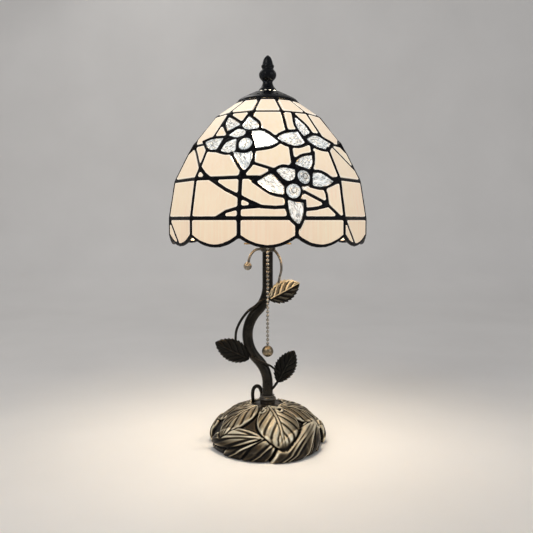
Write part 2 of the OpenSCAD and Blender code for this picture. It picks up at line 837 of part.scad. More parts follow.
module bulb_base() {
    color([0.75, 0.75, 0.77])
        difference() {
            union() {
                translate([0, 0, 248]) cylinder(r = 12.9, h = 15.9);
                translate([0, 0, 245.9]) cylinder(r1 = 6, r2 = 10, h = 2.1);
            }
            translate([0, 0, 249]) cylinder(r = 12.2, h = 20);
            translate([0, 0, 240]) cylinder(r = 4.2, h = 20);
        }
}

module bulb_contact() {
    color(brass)
        translate([0, 0, 244.9]) cylinder(r = 4.1, h = 2.4);
}

module bulb_filament() {
    top = 306;
    color([0.8, 0.78, 0.7]) {
        translate([0, 0, 264.9]) cylinder(r1 = 6, r2 = 2.4, h = 22, $fn = 24);
        for (side = [-1, 1])
            translate([side * 1.4, 0, 286])
                rotate([0, side * 24, 0]) cylinder(r = 0.35, h = 20, $fn = 16);
        translate([-9.6, 0, top - 2])
            rotate([0, 90, 0]) cylinder(r = 0.6, h = 19.2, $fn = 16);
    }
}

// ---------------------------------------------------------------- stem
// Bend of round bar, in the XZ plane, about a centre
module bar_bend(x, z, r, from, sweep, bar_r) {
    translate([x, 0, z])
        rotate([90, 0, 0])
            rotate_extrude(angle = sweep, start = from)
                translate([r, 0]) circle(r = bar_r);
}

// Solid round bar that follows the stem's middle line between its shoulders
module stem_run(r, low, high) {
    translate([0, 0, low]) cylinder(r = r, h = bends_low_z - low);
    bar_bend(-bend_r, bends_low_z, bend_r, 0, bend_deg, r);
    bar_bend(bend_r - 2 * bend_shift, bends_low_z + 2 * bend_rise, bend_r, 180 - bend_deg,
             2 * bend_deg, r);
    bar_bend(-bend_r, bends_high_z, bend_r, -bend_deg, bend_deg, r);
    translate([0, 0, bends_high_z]) cylinder(r = r, h = high - bends_high_z);
}

module stem_tube() {
    color(bronze)
        difference() {
            union() {
                stem_run(stem_r, stem_foot_z, stem_shoulder_z);
                translate([0, 0, thread_low_z])
                    cylinder(r = thread_r, h = stem_foot_z - thread_low_z + 2);
                translate([0, 0, stem_shoulder_z - 2])
                    cylinder(r = thread_r, h = thread_top_z - stem_shoulder_z + 2);
            }
            stem_run(stem_bore_r, thread_low_z - 1, thread_top_z + 1);
        }
}

module stem_cup() {
    color(bronze)
        rotate_extrude()
            polygon([
                [thread_hole_r, stem_shoulder_z], [6, stem_shoulder_z], [7.4, 204.2],
                [8, 206], [cup_r, 206.6], [cup_r, 207.6], [7.9, cup_top],
                [thread_hole_r, cup_top]
            ]);
}

module stem_spacer() {
    color(black_metal) ring(spacer_r, thread_hole_r, cup_top, saddle_low);
}

module stem_collar() {
    color(bronze)
        translate([0, 0, base_h])
            rotate_extrude()
                difference() {
                    union() {
                        translate([5.3, 0]) square([2, collar_top - base_h]);
                        translate([6.2, 5.2]) circle(r = 2.75);
                        translate([5.3, 0]) square([2.7, 4]);
                    }
                    translate([0, -1]) square([stem_r + 0.05, 12]);
                    translate([0, -5]) square([20, 5]);
                }
}

// Half a leaf blade, widest a little below its middle
function leaf_edge(long, wide) =
    [for (k = [0:leaf_steps])
        let (t = k / leaf_steps)
        [long * t, wide / 2 * pow(sin(180 * pow(t, 0.85)), 0.75)]];

// Leaf of two blades that fold down from the midrib
module leaf(place) {
    translate(place[0])
        rotate([0, -place[3], 0])
            rotate([90, 0, 0])
                for (side = [0, 1])
                    mirror([0, side, 0])
                        rotate([-leaf_fold, 0, 0])
                            translate([0, -leaf_lap, 0])
                                linear_extrude(leaf_t)
                                    polygon(leaf_edge(place[1], place[2]));
}

module leaf_upper() { color(gilt) leaf(leaf_upper_at); }
module leaf_left() { color(bronze) leaf(leaf_left_at); }

module leaf_lower() {
    foot = leaf_lower_at[0];
    color(bronze) {
        leaf(leaf_lower_at);
        rod(route([[4.6, -2.6, 57], [7, -3.8, 60], foot + [1, 1, 2]]), vine_r, vine_r);
    }
}

module vine_mid() { color(bronze) rod(route(vine_mid_path), vine_r, vine_r); }
module vine_lower() { color(bronze) rod(route(vine_lower_path), vine_r, 1); }
module tendril_right() { color(bronze) rod(route(tendril_right_path), tendril_r, tendril_r); }
module base_curl() { color(bronze) rod(route(curl_path), curl_r, curl_r * 0.8); }

module tendril_left() {
    color(bronze) {
        rod(route(tendril_left_path), tendril_r, tendril_r);
        translate(tendril_left_ball) sphere(r = tendril_ball_r);
    }
}

// ---------------------------------------------------------------- base
function dome_side(inset) =
    [for (k = [0:dome_steps])
        let (a = 90 * k / dome_steps)
        [dome_top_r + (base_r - dome_top_r - inset) * pow(sin(a), dome_power),
         dome_foot_z + (base_h - dome_foot_z - inset) * pow(cos(a), dome_power)]];

module dome_solid(inset, foot) {
    rotate_extrude()
        polygon(concat([[0, base_h - inset]], dome_side(inset),
            [[base_r - inset - 1, foot], [0, foot]]));
}

module at_screws() {
    for (k = [0:screws - 1])
        rotate(30 + k * 360 / screws)
            translate([boss_at, 0, 0]) children();
}

module base_casting() {
    hole_y = base_r - base_wall - 4;
    color(bronze)
        difference() {
            union() {
                difference() {
                    dome_solid(0, casting_foot_z);
                    dome_solid(base_wall, casting_foot_z - 1);
                }
                intersection() {
                    at_screws()
                        translate([0, 0, plate_top]) cylinder(r = boss_r, h = base_h);
                    dome_solid(base_wall / 2, casting_foot_z);
                }
            }
            translate([0, 0, base_h / 2]) cylinder(r = thread_hole_r, h = base_h);
            at_screws()
                cylinder(r = screw_r + 0.05, h = plate_top + screw_len + 1, $fn = 24);
            translate([0, hole_y, bushing_z])
                rotate([-90, 0, 0]) cylinder(r = bushing_r + 0.05, h = 20);
        }
}

module base_weight() {
    color([0.3, 0.3, 0.31])
        ring(weight_r, weight_hole_r, plate_top, plate_top + weight_h);
}

module base_plate() {
    color(steel)
        difference() {
            translate([0, 0, felt_t]) cylinder(r = plate_r, h = plate_t);
            translate([0, 0, felt_t - 1]) cylinder(r = weight_hole_r, h = plate_t + 2);
            at_screws()
                translate([0, 0, felt_t - 1]) cylinder(r = screw_r + 0.1, h = 4, $fn = 24);
        }
}

module base_felt() {
    color(felt_green)
        difference() {
            cylinder(r = felt_r, h = felt_t);
            at_screws()
                translate([0, 0, -1]) cylinder(r = screw_head_r + 0.5, h = 4);
        }
}

module base_screws() {
    color(steel)
        at_screws() {
            translate([0, 0, screw_sunk])
                cylinder(r = screw_head_r, h = felt_t - screw_sunk, $fn = 24);
            translate([0, 0, felt_t - 0.1])
                cylinder(r = screw_r, h = plate_t + screw_len, $fn = 24);
        }
}

module base_washer() {
    top = base_h - base_wall;
    color(steel) ring(dome_top_r - 0.3, thread_hole_r, top - 1.5, top);
}

module base_nut() {
    top = base_h - base_wall - 1.5;
    color(steel)
        translate([0, 0, top - 4])
            difference() {
                cylinder(r = 8.2, h = 4, $fn = 6);
                translate([0, 0, -1]) cylinder(r = thread_hole_r, h = 6);
            }
}

module cord_bushing() {
    inner_y = base_r - base_wall - 3;
    color([0.06, 0.06, 0.06])
        translate([0, inner_y, bushing_z])
            rotate([-90, 0, 0])
                difference() {
                    union() {
                        cylinder(r = bushing_r, h = base_r - inner_y);
                        translate([0, 0, base_r - inner_y - 0.1]) cylinder(r = 6.6, h = 1.6);
                    }
                    translate([0, 0, -1]) cylinder(r = cord_r, h = 20);
                }
}

// ---------------------------------------------------------------- assembly
base_felt();
base_plate();
base_screws();
base_weight();
base_casting();
base_washer();
base_nut();
cord_bushing();
stem_collar();
stem_tube();
stem_cup();
stem_spacer();
leaf_upper();
leaf_left();
leaf_lower();
vine_mid();
vine_lower();
tendril_left();
tendril_right();
base_curl();
harp_saddle();
harp_ferrules();
harp_loop();
harp_stud();
harp_washer();
socket_cap();
socket_nut();
socket_shell();
socket_liner();
socket_insulator();
screw_shell();
centre_contact();
chain_bell();
switch_lever();
switch_spring();
chain_stub();
chain_upper();
chain_lower();
pull_ball();
bulb_base();
bulb_contact();
bulb_glass();
bulb_filament();
came_ribs();
came_hoops();
came_petals();
came_vines();
came_jewels();
glass_crown();
glass_upper();
glass_middle();
glass_lower();
glass_skirt();
petals_flower();
petals_bud();
petals_blossom();
jewels();
crown_ring();
vase_cap();
finial();
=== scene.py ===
"""Looks of the stained glass table lamp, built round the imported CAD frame.

Lengths are in metres, except where a name ends in _mm. +Z is up, and the viewer
looks along +Y.
"""

import math

import bmesh
import bpy
import numpy as np
from mathutils import Matrix, Vector, noise


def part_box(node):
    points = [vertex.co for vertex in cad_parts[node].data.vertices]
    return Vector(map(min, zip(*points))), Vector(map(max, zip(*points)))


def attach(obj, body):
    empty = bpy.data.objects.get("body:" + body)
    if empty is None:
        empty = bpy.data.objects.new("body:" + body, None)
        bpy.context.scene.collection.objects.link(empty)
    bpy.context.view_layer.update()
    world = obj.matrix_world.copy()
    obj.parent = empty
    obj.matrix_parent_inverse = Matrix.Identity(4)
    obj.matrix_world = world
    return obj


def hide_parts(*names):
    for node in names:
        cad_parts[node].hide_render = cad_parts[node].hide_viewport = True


MM = 0.001
THIRDS = 3
FRONT_THIRD = (-74, 46)

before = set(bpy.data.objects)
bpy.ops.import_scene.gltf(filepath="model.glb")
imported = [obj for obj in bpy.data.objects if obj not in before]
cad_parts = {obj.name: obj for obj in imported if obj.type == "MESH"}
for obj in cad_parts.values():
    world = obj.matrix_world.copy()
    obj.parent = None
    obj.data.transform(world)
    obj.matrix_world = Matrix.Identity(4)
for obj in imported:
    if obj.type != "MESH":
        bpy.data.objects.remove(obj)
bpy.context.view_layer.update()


# ------------------------------------------------------------------ meshes
def mesh_piece(name, points_mm, faces, body, material, replaced=()):
    """A new piece from points in millimetres and faces, riding on a body."""
    mesh = bpy.data.meshes.new(name)
    points = np.asarray(points_mm, float) * MM
    mesh.from_pydata(points.tolist(), [], [list(map(int, f)) for f in faces])
    mesh.validate()
    return mesh_object(name, mesh, body, material, replaced)


def mesh_object(name, mesh, body, material, replaced=()):
    """A smooth-shaded piece for a mesh that is already in place."""
    mesh.polygons.foreach_set("use_smooth", [True] * len(mesh.polygons))
    mesh.materials.clear()
    mesh.materials.append(material)
    piece = bpy.data.objects.new(name, mesh)
    bpy.context.scene.collection.objects.link(piece)
    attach(piece, body)
    if replaced:
        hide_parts(*replaced)
    return piece


def write_values(piece, name, values):
    """Stores one number for each point of a piece, for its material to read."""
    values = np.asarray(values, np.float32).ravel()
    piece.data.attributes.new(name, "FLOAT", "POINT").data.foreach_set("value", values)


def grid_faces(rows, columns, closed_rows=False, closed_columns=False, first=0):
    """Quads of a grid of points whose rows follow each other in one list."""
    last_row = rows if closed_rows else rows - 1
    last_column = columns if closed_columns else columns - 1
    faces = []
    for i in range(last_row):
        low = first + i * columns
        high = first + (i + 1) % rows * columns
        for j in range(last_column):
            k = (j + 1) % columns
            faces.append((low + j, low + k, high + k, high + j))
    return faces


def tube_faces(rings, spokes):
    """Faces of a tube of rings, closed by the two end points that follow the rings."""
    low = rings * spokes
    high = low + 1
    last = low - spokes
    faces = grid_faces(rings, spokes, closed_columns=True)
    for j in range(spokes):
        k = (j + 1) % spokes
        faces.append((low, k, j))
        faces.append((high, last + j, last + k))
    return faces


def joined(parts):
    """Several (points, faces) pairs as one."""
    points = []
    faces = []
    for some_points, some_faces in parts:
        shift = len(points)
        points += list(some_points)
        faces += [tuple(k + shift for k in face) for face in some_faces]
    return points, faces


def welded(node):
    """A bmesh of a CAD node with its doubled points made one."""
    work = bmesh.new()
    work.from_mesh(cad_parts[node].data)
    bmesh.ops.remove_doubles(work, verts=work.verts, dist=1e-7)
    return work


def islands(work):
    """The separate solids of a bmesh, each as a list of its points."""
    seen = set()
    found = []
    for start in work.verts:
        if start in seen:
            continue
        seen.add(start)
        waiting = [start]
        island = []
        while waiting:
            vert = waiting.pop()
            island.append(vert)
            for edge in vert.link_edges:
                other = edge.other_vert(vert)
                if other not in seen:
                    seen.add(other)
                    waiting.append(other)
        found.append(island)
    return found


def corners_of(island):
    """Places of some points of a bmesh, in millimetres."""
    return np.array([vert.co / MM for vert in island])


def solids_of(node):
    """The separate solids of a CAD node, each as an array of corners in millimetres."""
    work = welded(node)
    found = [corners_of(island) for island in islands(work)]
    work.free()
    return found


def place_angle(corners):
    """Angle of a solid round the lamp's axis, in degrees from the front."""
    x, y, _ = corners.mean(axis=0)
    return math.degrees(math.atan2(x, -y))


def in_front_third(corners):
    """Whether a solid belongs to the repeat that faces the viewer."""
    return FRONT_THIRD[0] < place_angle(corners) < FRONT_THIRD[1]


def principal_axes(corners):
    """Rows are the directions of most, middle and least spread."""
    return np.linalg.svd(corners - corners.mean(axis=0), full_matrices=False)[2]


def applied(piece):
    """The piece's mesh with its modifiers applied."""
    graph = bpy.context.evaluated_depsgraph_get()
    return bpy.data.meshes.new_from_object(piece.evaluated_get(graph))


def ripple(point, scale, seed):
    """Smooth noise from -1 to 1 at a point in millimetres."""
    return noise.noise(Vector(point) * scale + Vector((seed, seed * 1.7, -seed)))


# ------------------------------------------------------------------ materials
WHITE = (1.0, 1.0, 1.0)


class Surface:
    """A node material with the Principled shader and short ways to add nodes."""

    def __init__(self, name, colour, metallic=0.0, rough=0.5, **sockets):
        self.material = bpy.data.materials.new(name)
        self.material.use_nodes = True
        self.nodes = self.material.node_tree.nodes
        self.links = self.material.node_tree.links
        self.shader = self.nodes["Principled BSDF"]
        self.put("Base Color", (*colour, 1))
        self.put("Metallic", metallic)
        self.put("Roughness", rough)
        for socket, value in sockets.items():
            self.put(socket.replace("_", " "), value)

    def put(self, socket, value):
        self.shader.inputs[socket].default_value = value

    def node(self, kind, **settings):
        made = self.nodes.new(kind)
        for key, value in settings.items():
            setattr(made, key, value)
        return made

    def link(self, source, target):
        self.links.new(source, target)

    def coordinates(self, stretch=(1, 1, 1)):
        place = self.node("ShaderNodeTexCoord")
        mapping = self.node("ShaderNodeMapping")
        mapping.inputs["Scale"].default_value = stretch
        self.link(place.outputs["Object"], mapping.inputs["Vector"])
        return mapping.outputs["Vector"]

    def noise(self, scale, detail=3, stretch=(1, 1, 1), distortion=0.0, vector=None):
        """Soft noise over the object's own coordinates, or over another vector."""
        if vector is None:
            vector = self.coordinates(stretch)
        made = self.node("ShaderNodeTexNoise")
        made.inputs["Scale"].default_value = scale
        made.inputs["Detail"].default_value = detail
        made.inputs["Distortion"].default_value = distortion
        self.link(vector, made.inputs["Vector"])
        return made.outputs["Fac"]

    def ramp(self, source, stops):
        made = self.node("ShaderNodeValToRGB")
        band = made.color_ramp.elements
        while len(band) < len(stops):
            band.new(0.5)
        for element, (place, colour) in zip(band, stops):
            element.position = place
            element.color = (*colour, 1) if len(colour) == 3 else (*colour * 3, 1)
        self.link(source, made.inputs["Fac"])
        return made.outputs["Color"]

    def mix(self, blend, first, second):
        """Two colours put together by a blend mode."""
        made = self.node("ShaderNodeMix", data_type="RGBA", blend_type=blend)
        made.inputs["Factor"].default_value = 1
        self.link(first, made.inputs["A"])
        self.link(second, made.inputs["B"])
        return made.outputs["Result"]

    def multiply(self, first, second):
        return self.mix("MULTIPLY", first, second)

    def mottle(self, scale, detail, low, high):
        """Colour that drifts between two stops, each a (place, colour), over soft noise."""
        return self.ramp(self.noise(scale, detail), [low, high])

    def attribute(self, name):
        return self.node("ShaderNodeAttribute", attribute_name=name).outputs["Fac"]

    def z_of(self, kind):
        """The upright part of the point's place (Object) or of its facing (Normal)."""
        place = self.node("ShaderNodeTexCoord")
        split = self.node("ShaderNodeSeparateXYZ")
        self.link(place.outputs[kind], split.inputs["Vector"])
        return split.outputs["Z"]

    def height(self):
        """Height of the point above the table, in metres."""
        return self.z_of("Object")

    def upward(self):
        """0 where the surface faces down, 1 where it faces up."""
        return self.remap(self.z_of("Normal"), -1, 1)

    def radius(self):
        """Distance of the point from the lamp's axis, in metres."""
        place = self.node("ShaderNodeTexCoord")
        flat = self.node("ShaderNodeVectorMath", operation="MULTIPLY")
        flat.inputs[1].default_value = (1, 1, 0)
        size = self.node("ShaderNodeVectorMath", operation="LENGTH")
        self.link(place.outputs["Object"], flat.inputs[0])
        self.link(flat.outputs["Vector"], size.inputs[0])
        return size.outputs["Value"]

    def remap(self, source, low, high):
        made = self.node("ShaderNodeMapRange")
        made.inputs["From Min"].default_value = low
        made.inputs["From Max"].default_value = high
        self.link(source, made.inputs["Value"])
        return made.outputs["Result"]

    def colour(self, source):
        self.link(source, self.shader.inputs["Base Color"])

    def roughness(self, source, low, high):
        self.link(self.ramp(source, [(0.3, (low,)), (0.7, (high,))]), self.shader.inputs["Roughness"])

    def skin(self, gloss, rough, pits, depth):
        """Uneven gloss and fine pits; gloss and pits are the (scale, detail) of their noises."""
        self.roughness(self.noise(*gloss), *rough)
        self.bump(self.noise(*pits), depth)

    def bump(self, source, depth, strength=1.0):
        made = self.node("ShaderNodeBump")
        made.inputs["Distance"].default_value = depth
        made.inputs["Strength"].default_value = strength
        self.link(source, made.inputs["Height"])
        self.link(made.outputs["Normal"], self.shader.inputs["Normal"])


METAL_GRAIN = 260


def worn_metal(name, low, high, rough, metallic=0.9):
    """Metal with a mottled colour, an uneven gloss and fine pits."""
    surface = Surface(name, high, metallic)
    surface.colour(surface.mottle(METAL_GRAIN / 4, 5, (0.32, low), (0.68, high)))
    surface.skin((METAL_GRAIN, 4), rough, (METAL_GRAIN * 4, 3), 0.00006)
    return surface.material


def lead_black():
    """Blackened lead with a dull, uneven skin."""
    surface = Surface("lead_black", (0.004, 0.004, 0.006), 0, 0.3)
    surface.put("Specular IOR Level", 0.1)
    surface.colour(surface.mottle(180, 4, (0.35, (0.001, 0.001, 0.002)), (0.7, (0.004, 0.004, 0.006))))
    surface.skin((420, 3), (0.24, 0.46), (900, 3), 0.00008)
    return surface.material


CAP_LIT_EDGE = (0.015, 0.016)


def black_enamel(name, painted_underside_glow=False):
    """Deep black paint over turned metal, with soft scuffs and perhaps a painted glow on its underside round
    the vents.
    """
    surface = Surface(name, (0.004, 0.005, 0.007), 0, 0.26)
    surface.put("Specular IOR Level", 0.2)
    paint = surface.mottle(90, 5, (0.35, (0.0, 0.0005, 0.002)), (0.7, (0.003, 0.004, 0.006)))
    if painted_underside_glow:
        # Painted glow: the underside within the ring of vents is pale and glows, standing in for the bulb's
        # light.
        inside = surface.ramp(surface.upward(), [(0.55, (0.85, 0.82, 0.74)), (0.6, (0.0, 0.0, 0.0))])
        middle = surface.ramp(surface.remap(surface.radius(), *CAP_LIT_EDGE), [(0.0, (1.0,)), (1.0, (0.0,))])
        lit = surface.multiply(inside, middle)
        paint = surface.mix("LIGHTEN", paint, lit)
        surface.link(lit, surface.shader.inputs["Emission Color"])
        surface.put("Emission Strength", 0.9)
    surface.colour(paint)
    surface.skin((300, 4), (0.2, 0.34), (1000, 3), 0.00005)
    return surface.material


SHADE_LOW = 0.21
SHADE_TOP = 0.36


def opal_glass():
    """Cream opal glass with faint streaks and a painted glow standing in for the bulb behind it."""
    surface = Surface("opal_glass", (0.9, 0.8, 0.68), 0, 0.32)
    tint = surface.mottle(22, 1, (0.38, (0.84, 0.675, 0.51)), (0.62, (0.84, 0.7, 0.52)))
    streaks = surface.noise(1, 4, stretch=(420, 420, 26), distortion=0.4)
    veil = surface.ramp(streaks, [(0.34, (0.955, 0.94, 0.91)), (0.64, WHITE)])
    body = surface.multiply(tint, veil)
    # Painted glow: dimmer low on the shade and brighter toward its top.
    painted_height_glow = surface.ramp(surface.remap(surface.height(), SHADE_LOW, SHADE_TOP),
                        [(0.0, (0.8, 0.76, 0.72)), (0.5, WHITE), (1.0, (1.4, 1.46, 1.48))])
    # Painted glow: brighter close to the lead, along the panes' edges.
    edge = surface.node("ShaderNodeAmbientOcclusion", inside=True, only_local=True, samples=6)
    edge.inputs["Distance"].default_value = 0.0022
    painted_edge_glow = surface.ramp(edge.outputs["AO"], [(0.45, (1.55, 1.85, 2.3)), (0.8, WHITE)])
    glow = surface.multiply(surface.multiply(body, painted_height_glow), painted_edge_glow)
    surface.colour(body)
    surface.link(glow, surface.shader.inputs["Emission Color"])
    surface.put("Emission Strength", 0.47)
    surface.put("Specular IOR Level", 0.3)
    surface.bump(surface.noise(150, 2), 0.0003, 0.5)
    return surface.material


# Strength of the painted glow of the clear glass.
GLASS_GLOW = 0.5


def clear_glass(name, fold_shade_grey):
    """Clear pressed glass with painted shade, dark where its folds turn the light away, and a painted glow.
    """
    surface = Surface(name, (0.7, 0.72, 0.73), 0, 0.07, IOR=1.5)
    surface.put("Transmission Weight", 0.6)
    dark = (0.2, 0.21, 0.21)
    flow = surface.node("ShaderNodeCombineXYZ")
    surface.link(surface.attribute("along"), flow.inputs["X"])
    surface.link(surface.attribute("across"), flow.inputs["Y"])
    dashes = surface.noise(1, 1, distortion=0.35, vector=flow.outputs["Vector"])
    # Painted shade: thin dark dashes along the pressed strokes.
    fine = surface.ramp(dashes, [(0.34, WHITE), (0.42, dark), (0.47, WHITE), (0.54, WHITE),
                                 (0.61, dark), (0.67, WHITE)])
    # Painted shade: greyer where the glass is pressed deepest.
    folds = surface.ramp(surface.attribute("press"), [(0.0, (0.72, 0.74, 0.74)), (0.4, (0.66, 0.68, 0.68)),
                                                      (0.85, fold_shade_grey), (1.0, fold_shade_grey)])
    painted_shade_and_glow = surface.multiply(folds, fine)
    surface.colour(painted_shade_and_glow)
    # Painted glow: the shaded pattern glows as well.
    surface.link(painted_shade_and_glow, surface.shader.inputs["Emission Color"])
    surface.put("Emission Strength", GLASS_GLOW)
    return surface.material


def base_bronze():
    """Antiqued bronze: dark in the hollows and worn bright on the ridges, with the painted shade and painted
    highlights that its relief tone holds.
    """
    surface = Surface("base_bronze", (0.2, 0.15, 0.1), 0.8, 0.4)
    relief = surface.attribute("relief")
    metal = surface.ramp(relief, [
        (0.0, (0.004, 0.003, 0.003)),
        (0.34, (0.014, 0.011, 0.008)),
        (0.54, (0.08, 0.062, 0.04)),
        (0.72, (0.38, 0.32, 0.22)),
        (0.92, (0.95, 0.88, 0.7)),
    ])
    patina = surface.mottle(70, 5, (0.3, (0.62, 0.6, 0.55)), (0.7, WHITE))
    surface.colour(surface.multiply(metal, patina))
    surface.skin((300, 4), (0.3, 0.5), (900, 4), 0.0001)
    return surface.material


def leaf_bronze(name, dark, bright):
    """Cast leaf metal: dark in its veins, bright where its relief stands up and where its tone holds a
    painted highlight.
    """
    surface = Surface(name, dark, 0.85, 0.4)
    relief = surface.attribute("relief")
    metal = surface.ramp(relief, [(0.25, dark), (0.62, [(a + b) / 2 for a, b in zip(dark, bright)]),
                                  (0.95, bright)])
    mottle = surface.mottle(160, 4, (0.3, (0.65, 0.63, 0.6)), (0.7, WHITE))
    surface.colour(surface.multiply(metal, mottle))
    surface.skin((350, 3), (0.28, 0.48), (1200, 3), 0.00006)
    return surface.material


BULB_LOW = 0.264
BULB_TOP = 0.335


def lit_bulb():
    """Frosted bulb that glows most round its widest part."""
    surface = Surface("lit_bulb", (1.0, 0.96, 0.88), 0, 0.4)
    up = surface.remap(surface.height(), BULB_LOW, BULB_TOP)
    warmth = surface.ramp(up, [(0.0, (1.0, 0.72, 0.42)), (0.6, (1.0, 0.9, 0.74)), (1.0, (1.0, 0.92, 0.8))])
    hot = surface.ramp(up, [(0.0, (0.04,)), (0.45, (0.06,)), (0.6, (1.0,)), (0.85, (1.0,)), (1.0, (0.3,))])
    surface.link(surface.multiply(warmth, hot), surface.shader.inputs["Emission Color"])
    surface.put("Emission Strength", 12)
    return surface.material


def felt():
    """Green felt with a short nap."""
    surface = Surface("felt", (0.05, 0.09, 0.06), 0, 0.95)
    surface.put("Sheen Weight", 0.6)
    surface.colour(surface.mottle(900, 5, (0.3, (0.03, 0.06, 0.04)), (0.7, (0.08, 0.13, 0.09))))
    surface.bump(surface.noise(2500, 4), 0.0002)
    return surface.material


def moulded(name, low, high, rough):
    """Plastic, rubber or card with a fine even grain."""
    surface = Surface(name, high, 0, rough)
    surface.colour(surface.mottle(120, 4, (0.3, low), (0.7, high)))
    surface.skin((500, 3), (rough - 0.08, rough + 0.08), (1500, 3), 0.00005)
    return surface.material


MATERIALS = {
    "lead": lead_black(),
    "opal": opal_glass(),
    "petal": clear_glass("petal_glass", (0.13, 0.145, 0.155)),
    "jewel": clear_glass("jewel_glass", (0.16, 0.165, 0.16)),
    "base": base_bronze(),
    "leaf": leaf_bronze("leaf_bronze", (0.004, 0.004, 0.0035), (0.085, 0.075, 0.062)),
    "gilt_leaf": leaf_bronze("gilt_leaf", (0.012, 0.01, 0.008), (0.95, 0.85, 0.63)),
    "stem": worn_metal("stem_bronze", (0.012, 0.011, 0.009), (0.032, 0.028, 0.023), (0.24, 0.4)),
    "wire": worn_metal("wire_bronze", (0.1, 0.09, 0.075), (0.38, 0.345, 0.29), (0.22, 0.36)),
    "black": black_enamel("black_enamel"),
    "cap": black_enamel("cap_enamel_painted_glow", painted_underside_glow=True),
    "brass": worn_metal("brass", (0.32, 0.22, 0.1), (0.62, 0.47, 0.25), (0.22, 0.4), 1.0),
    "chain": worn_metal("chain_metal", (0.18, 0.17, 0.15), (0.44, 0.42, 0.38), (0.12, 0.24), 1.0),
    # Painted highlight: the collar and cup get a lighter copy of the stem's bronze.
    "collar": worn_metal("collar_bronze_highlit", (0.05, 0.045, 0.038), (0.14, 0.125, 0.105), (0.26, 0.38)),
    "ball": worn_metal("antique_gold", (0.12, 0.095, 0.06), (0.26, 0.21, 0.14), (0.24, 0.38), 1.0),
    "steel": worn_metal("steel", (0.3, 0.3, 0.31), (0.55, 0.55, 0.57), (0.25, 0.42), 1.0),
    "iron": worn_metal("cast_iron", (0.03, 0.03, 0.032), (0.09, 0.09, 0.09), (0.55, 0.75), 0.7),
    "aluminium": worn_metal("aluminium", (0.5, 0.5, 0.51), (0.75, 0.75, 0.77), (0.2, 0.35), 1.0),
    "rubber": moulded("rubber", (0.012, 0.012, 0.012), (0.03, 0.03, 0.03), 0.65),
    "phenolic": moulded("phenolic", (0.015, 0.012, 0.01), (0.04, 0.032, 0.028), 0.4),
    "card": moulded("liner_card", (0.38, 0.3, 0.2), (0.55, 0.45, 0.31), 0.85),
    "felt": felt(),
    "bulb": lit_bulb(),
}

MATERIAL_NODES = {
    "felt": ["base_felt"],
    "steel": ["base_plate", "base_screws", "base_washer", "base_nut", "harp_washer", "socket_nut",
              "switch_spring", "bulb_filament"],
    "iron": ["base_weight"],
    "rubber": ["cord_bushing"],
    "collar": ["stem_collar", "stem_cup"],
    "stem": ["stem_tube"],
    "black": ["stem_spacer"],
    "brass": ["harp_saddle", "harp_ferrules", "harp_loop", "harp_stud", "socket_cap", "socket_shell",
              "centre_contact", "chain_bell", "switch_lever", "bulb_contact", "crown_ring"],
    "card": ["socket_liner"],
    "phenolic": ["socket_insulator"],
    "aluminium": ["screw_shell", "bulb_base"],
    "chain": ["chain_stub", "chain_upper", "chain_lower"],
    "ball": ["pull_ball"],
    "bulb": ["bulb_glass"],
    "opal": ["glass_crown", "glass_upper", "glass_middle", "glass_lower", "glass_skirt"],
    "cap": ["vase_cap"],
}


def dress_nodes():
    """Gives each CAD node that stays its material."""
    for name, nodes in MATERIAL_NODES.items():
        for node in nodes:
            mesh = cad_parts[node].data
            mesh.materials.clear()
            mesh.materials.append(MATERIALS[name])


# ------------------------------------------------------------------ lead
LEAD_NODES = ["came_ribs", "came_hoops", "came_petals", "came_vines", "came_jewels"]
LEAD_VOXEL = 0.0006
LEAD_SWELL = 0.001
LEAD_SHARE = 0.58
LEAD_HEIGHTS = (300, 318, 345, 351, 354)
LEAD_RADII = (1.9, 1.7, 1.3, 1.3, 2.2)
LEAD_REACH = {"came_ribs": 1.0, "came_hoops": 1.0, "came_vines": 1.8}
SCALLOP_LEAD = 2.0
SCALLOP_STEPS = 10


def capsule(start, end, radius, rounds=12):
    """Points and faces of a rod with round ends."""
    along = (end - start) / np.linalg.norm(end - start)
    side = np.cross(along, (0.3, 0.5, 0.8))
    side /= np.linalg.norm(side)
    up = np.cross(along, side)
    points = []
    for k in range(1, rounds):
        tilt = math.pi * k / rounds
        middle = start if math.cos(tilt) > 0 else end
        for j in range(rounds):
            turn = 2 * math.pi * j / rounds
            out = side * math.cos(turn) + up * math.sin(turn)
            points.append(middle - along * radius * math.cos(tilt) + out * radius * math.sin(tilt))
    points += [start - along * radius, end + along * radius]
    return points, tube_faces(rounds - 1, rounds)


def bar_axis(corners):
    """Direction of a straight round bar, or None for any other shape."""
    flat = corners - corners.mean(axis=0)
    for axis in principal_axes(corners):
        along = flat @ axis
        off = np.linalg.norm(flat - np.outer(along, axis), axis=1)
        if np.ptp(np.abs(along)) < 0.01 and np.ptp(off) < 0.01:
            return axis
    return None


def is_ring(corners):
    """A solid of lead that isn't a straight bar, in the front third."""
    return in_front_third(corners) and bar_axis(corners) is None


def lead_radius(height_mm):
    """Half the width of the lead, which is finer near the crown."""
    return float(np.interp(height_mm, LEAD_HEIGHTS, LEAD_RADII))


def lead_bars(node, reach_mm):
    """The bars of a CAD node as round-ended rods that reach each other."""
    for corners in solids_of(node):
        axis = bar_axis(corners)
        if axis is None or not in_front_third(corners):
            continue
        centre = corners.mean(axis=0)
        radius = lead_radius(centre[2])
        half = np.abs((corners - centre) @ axis).max() + reach_mm - radius * 0.3
        yield capsule(centre - axis * half, centre + axis * half, radius)


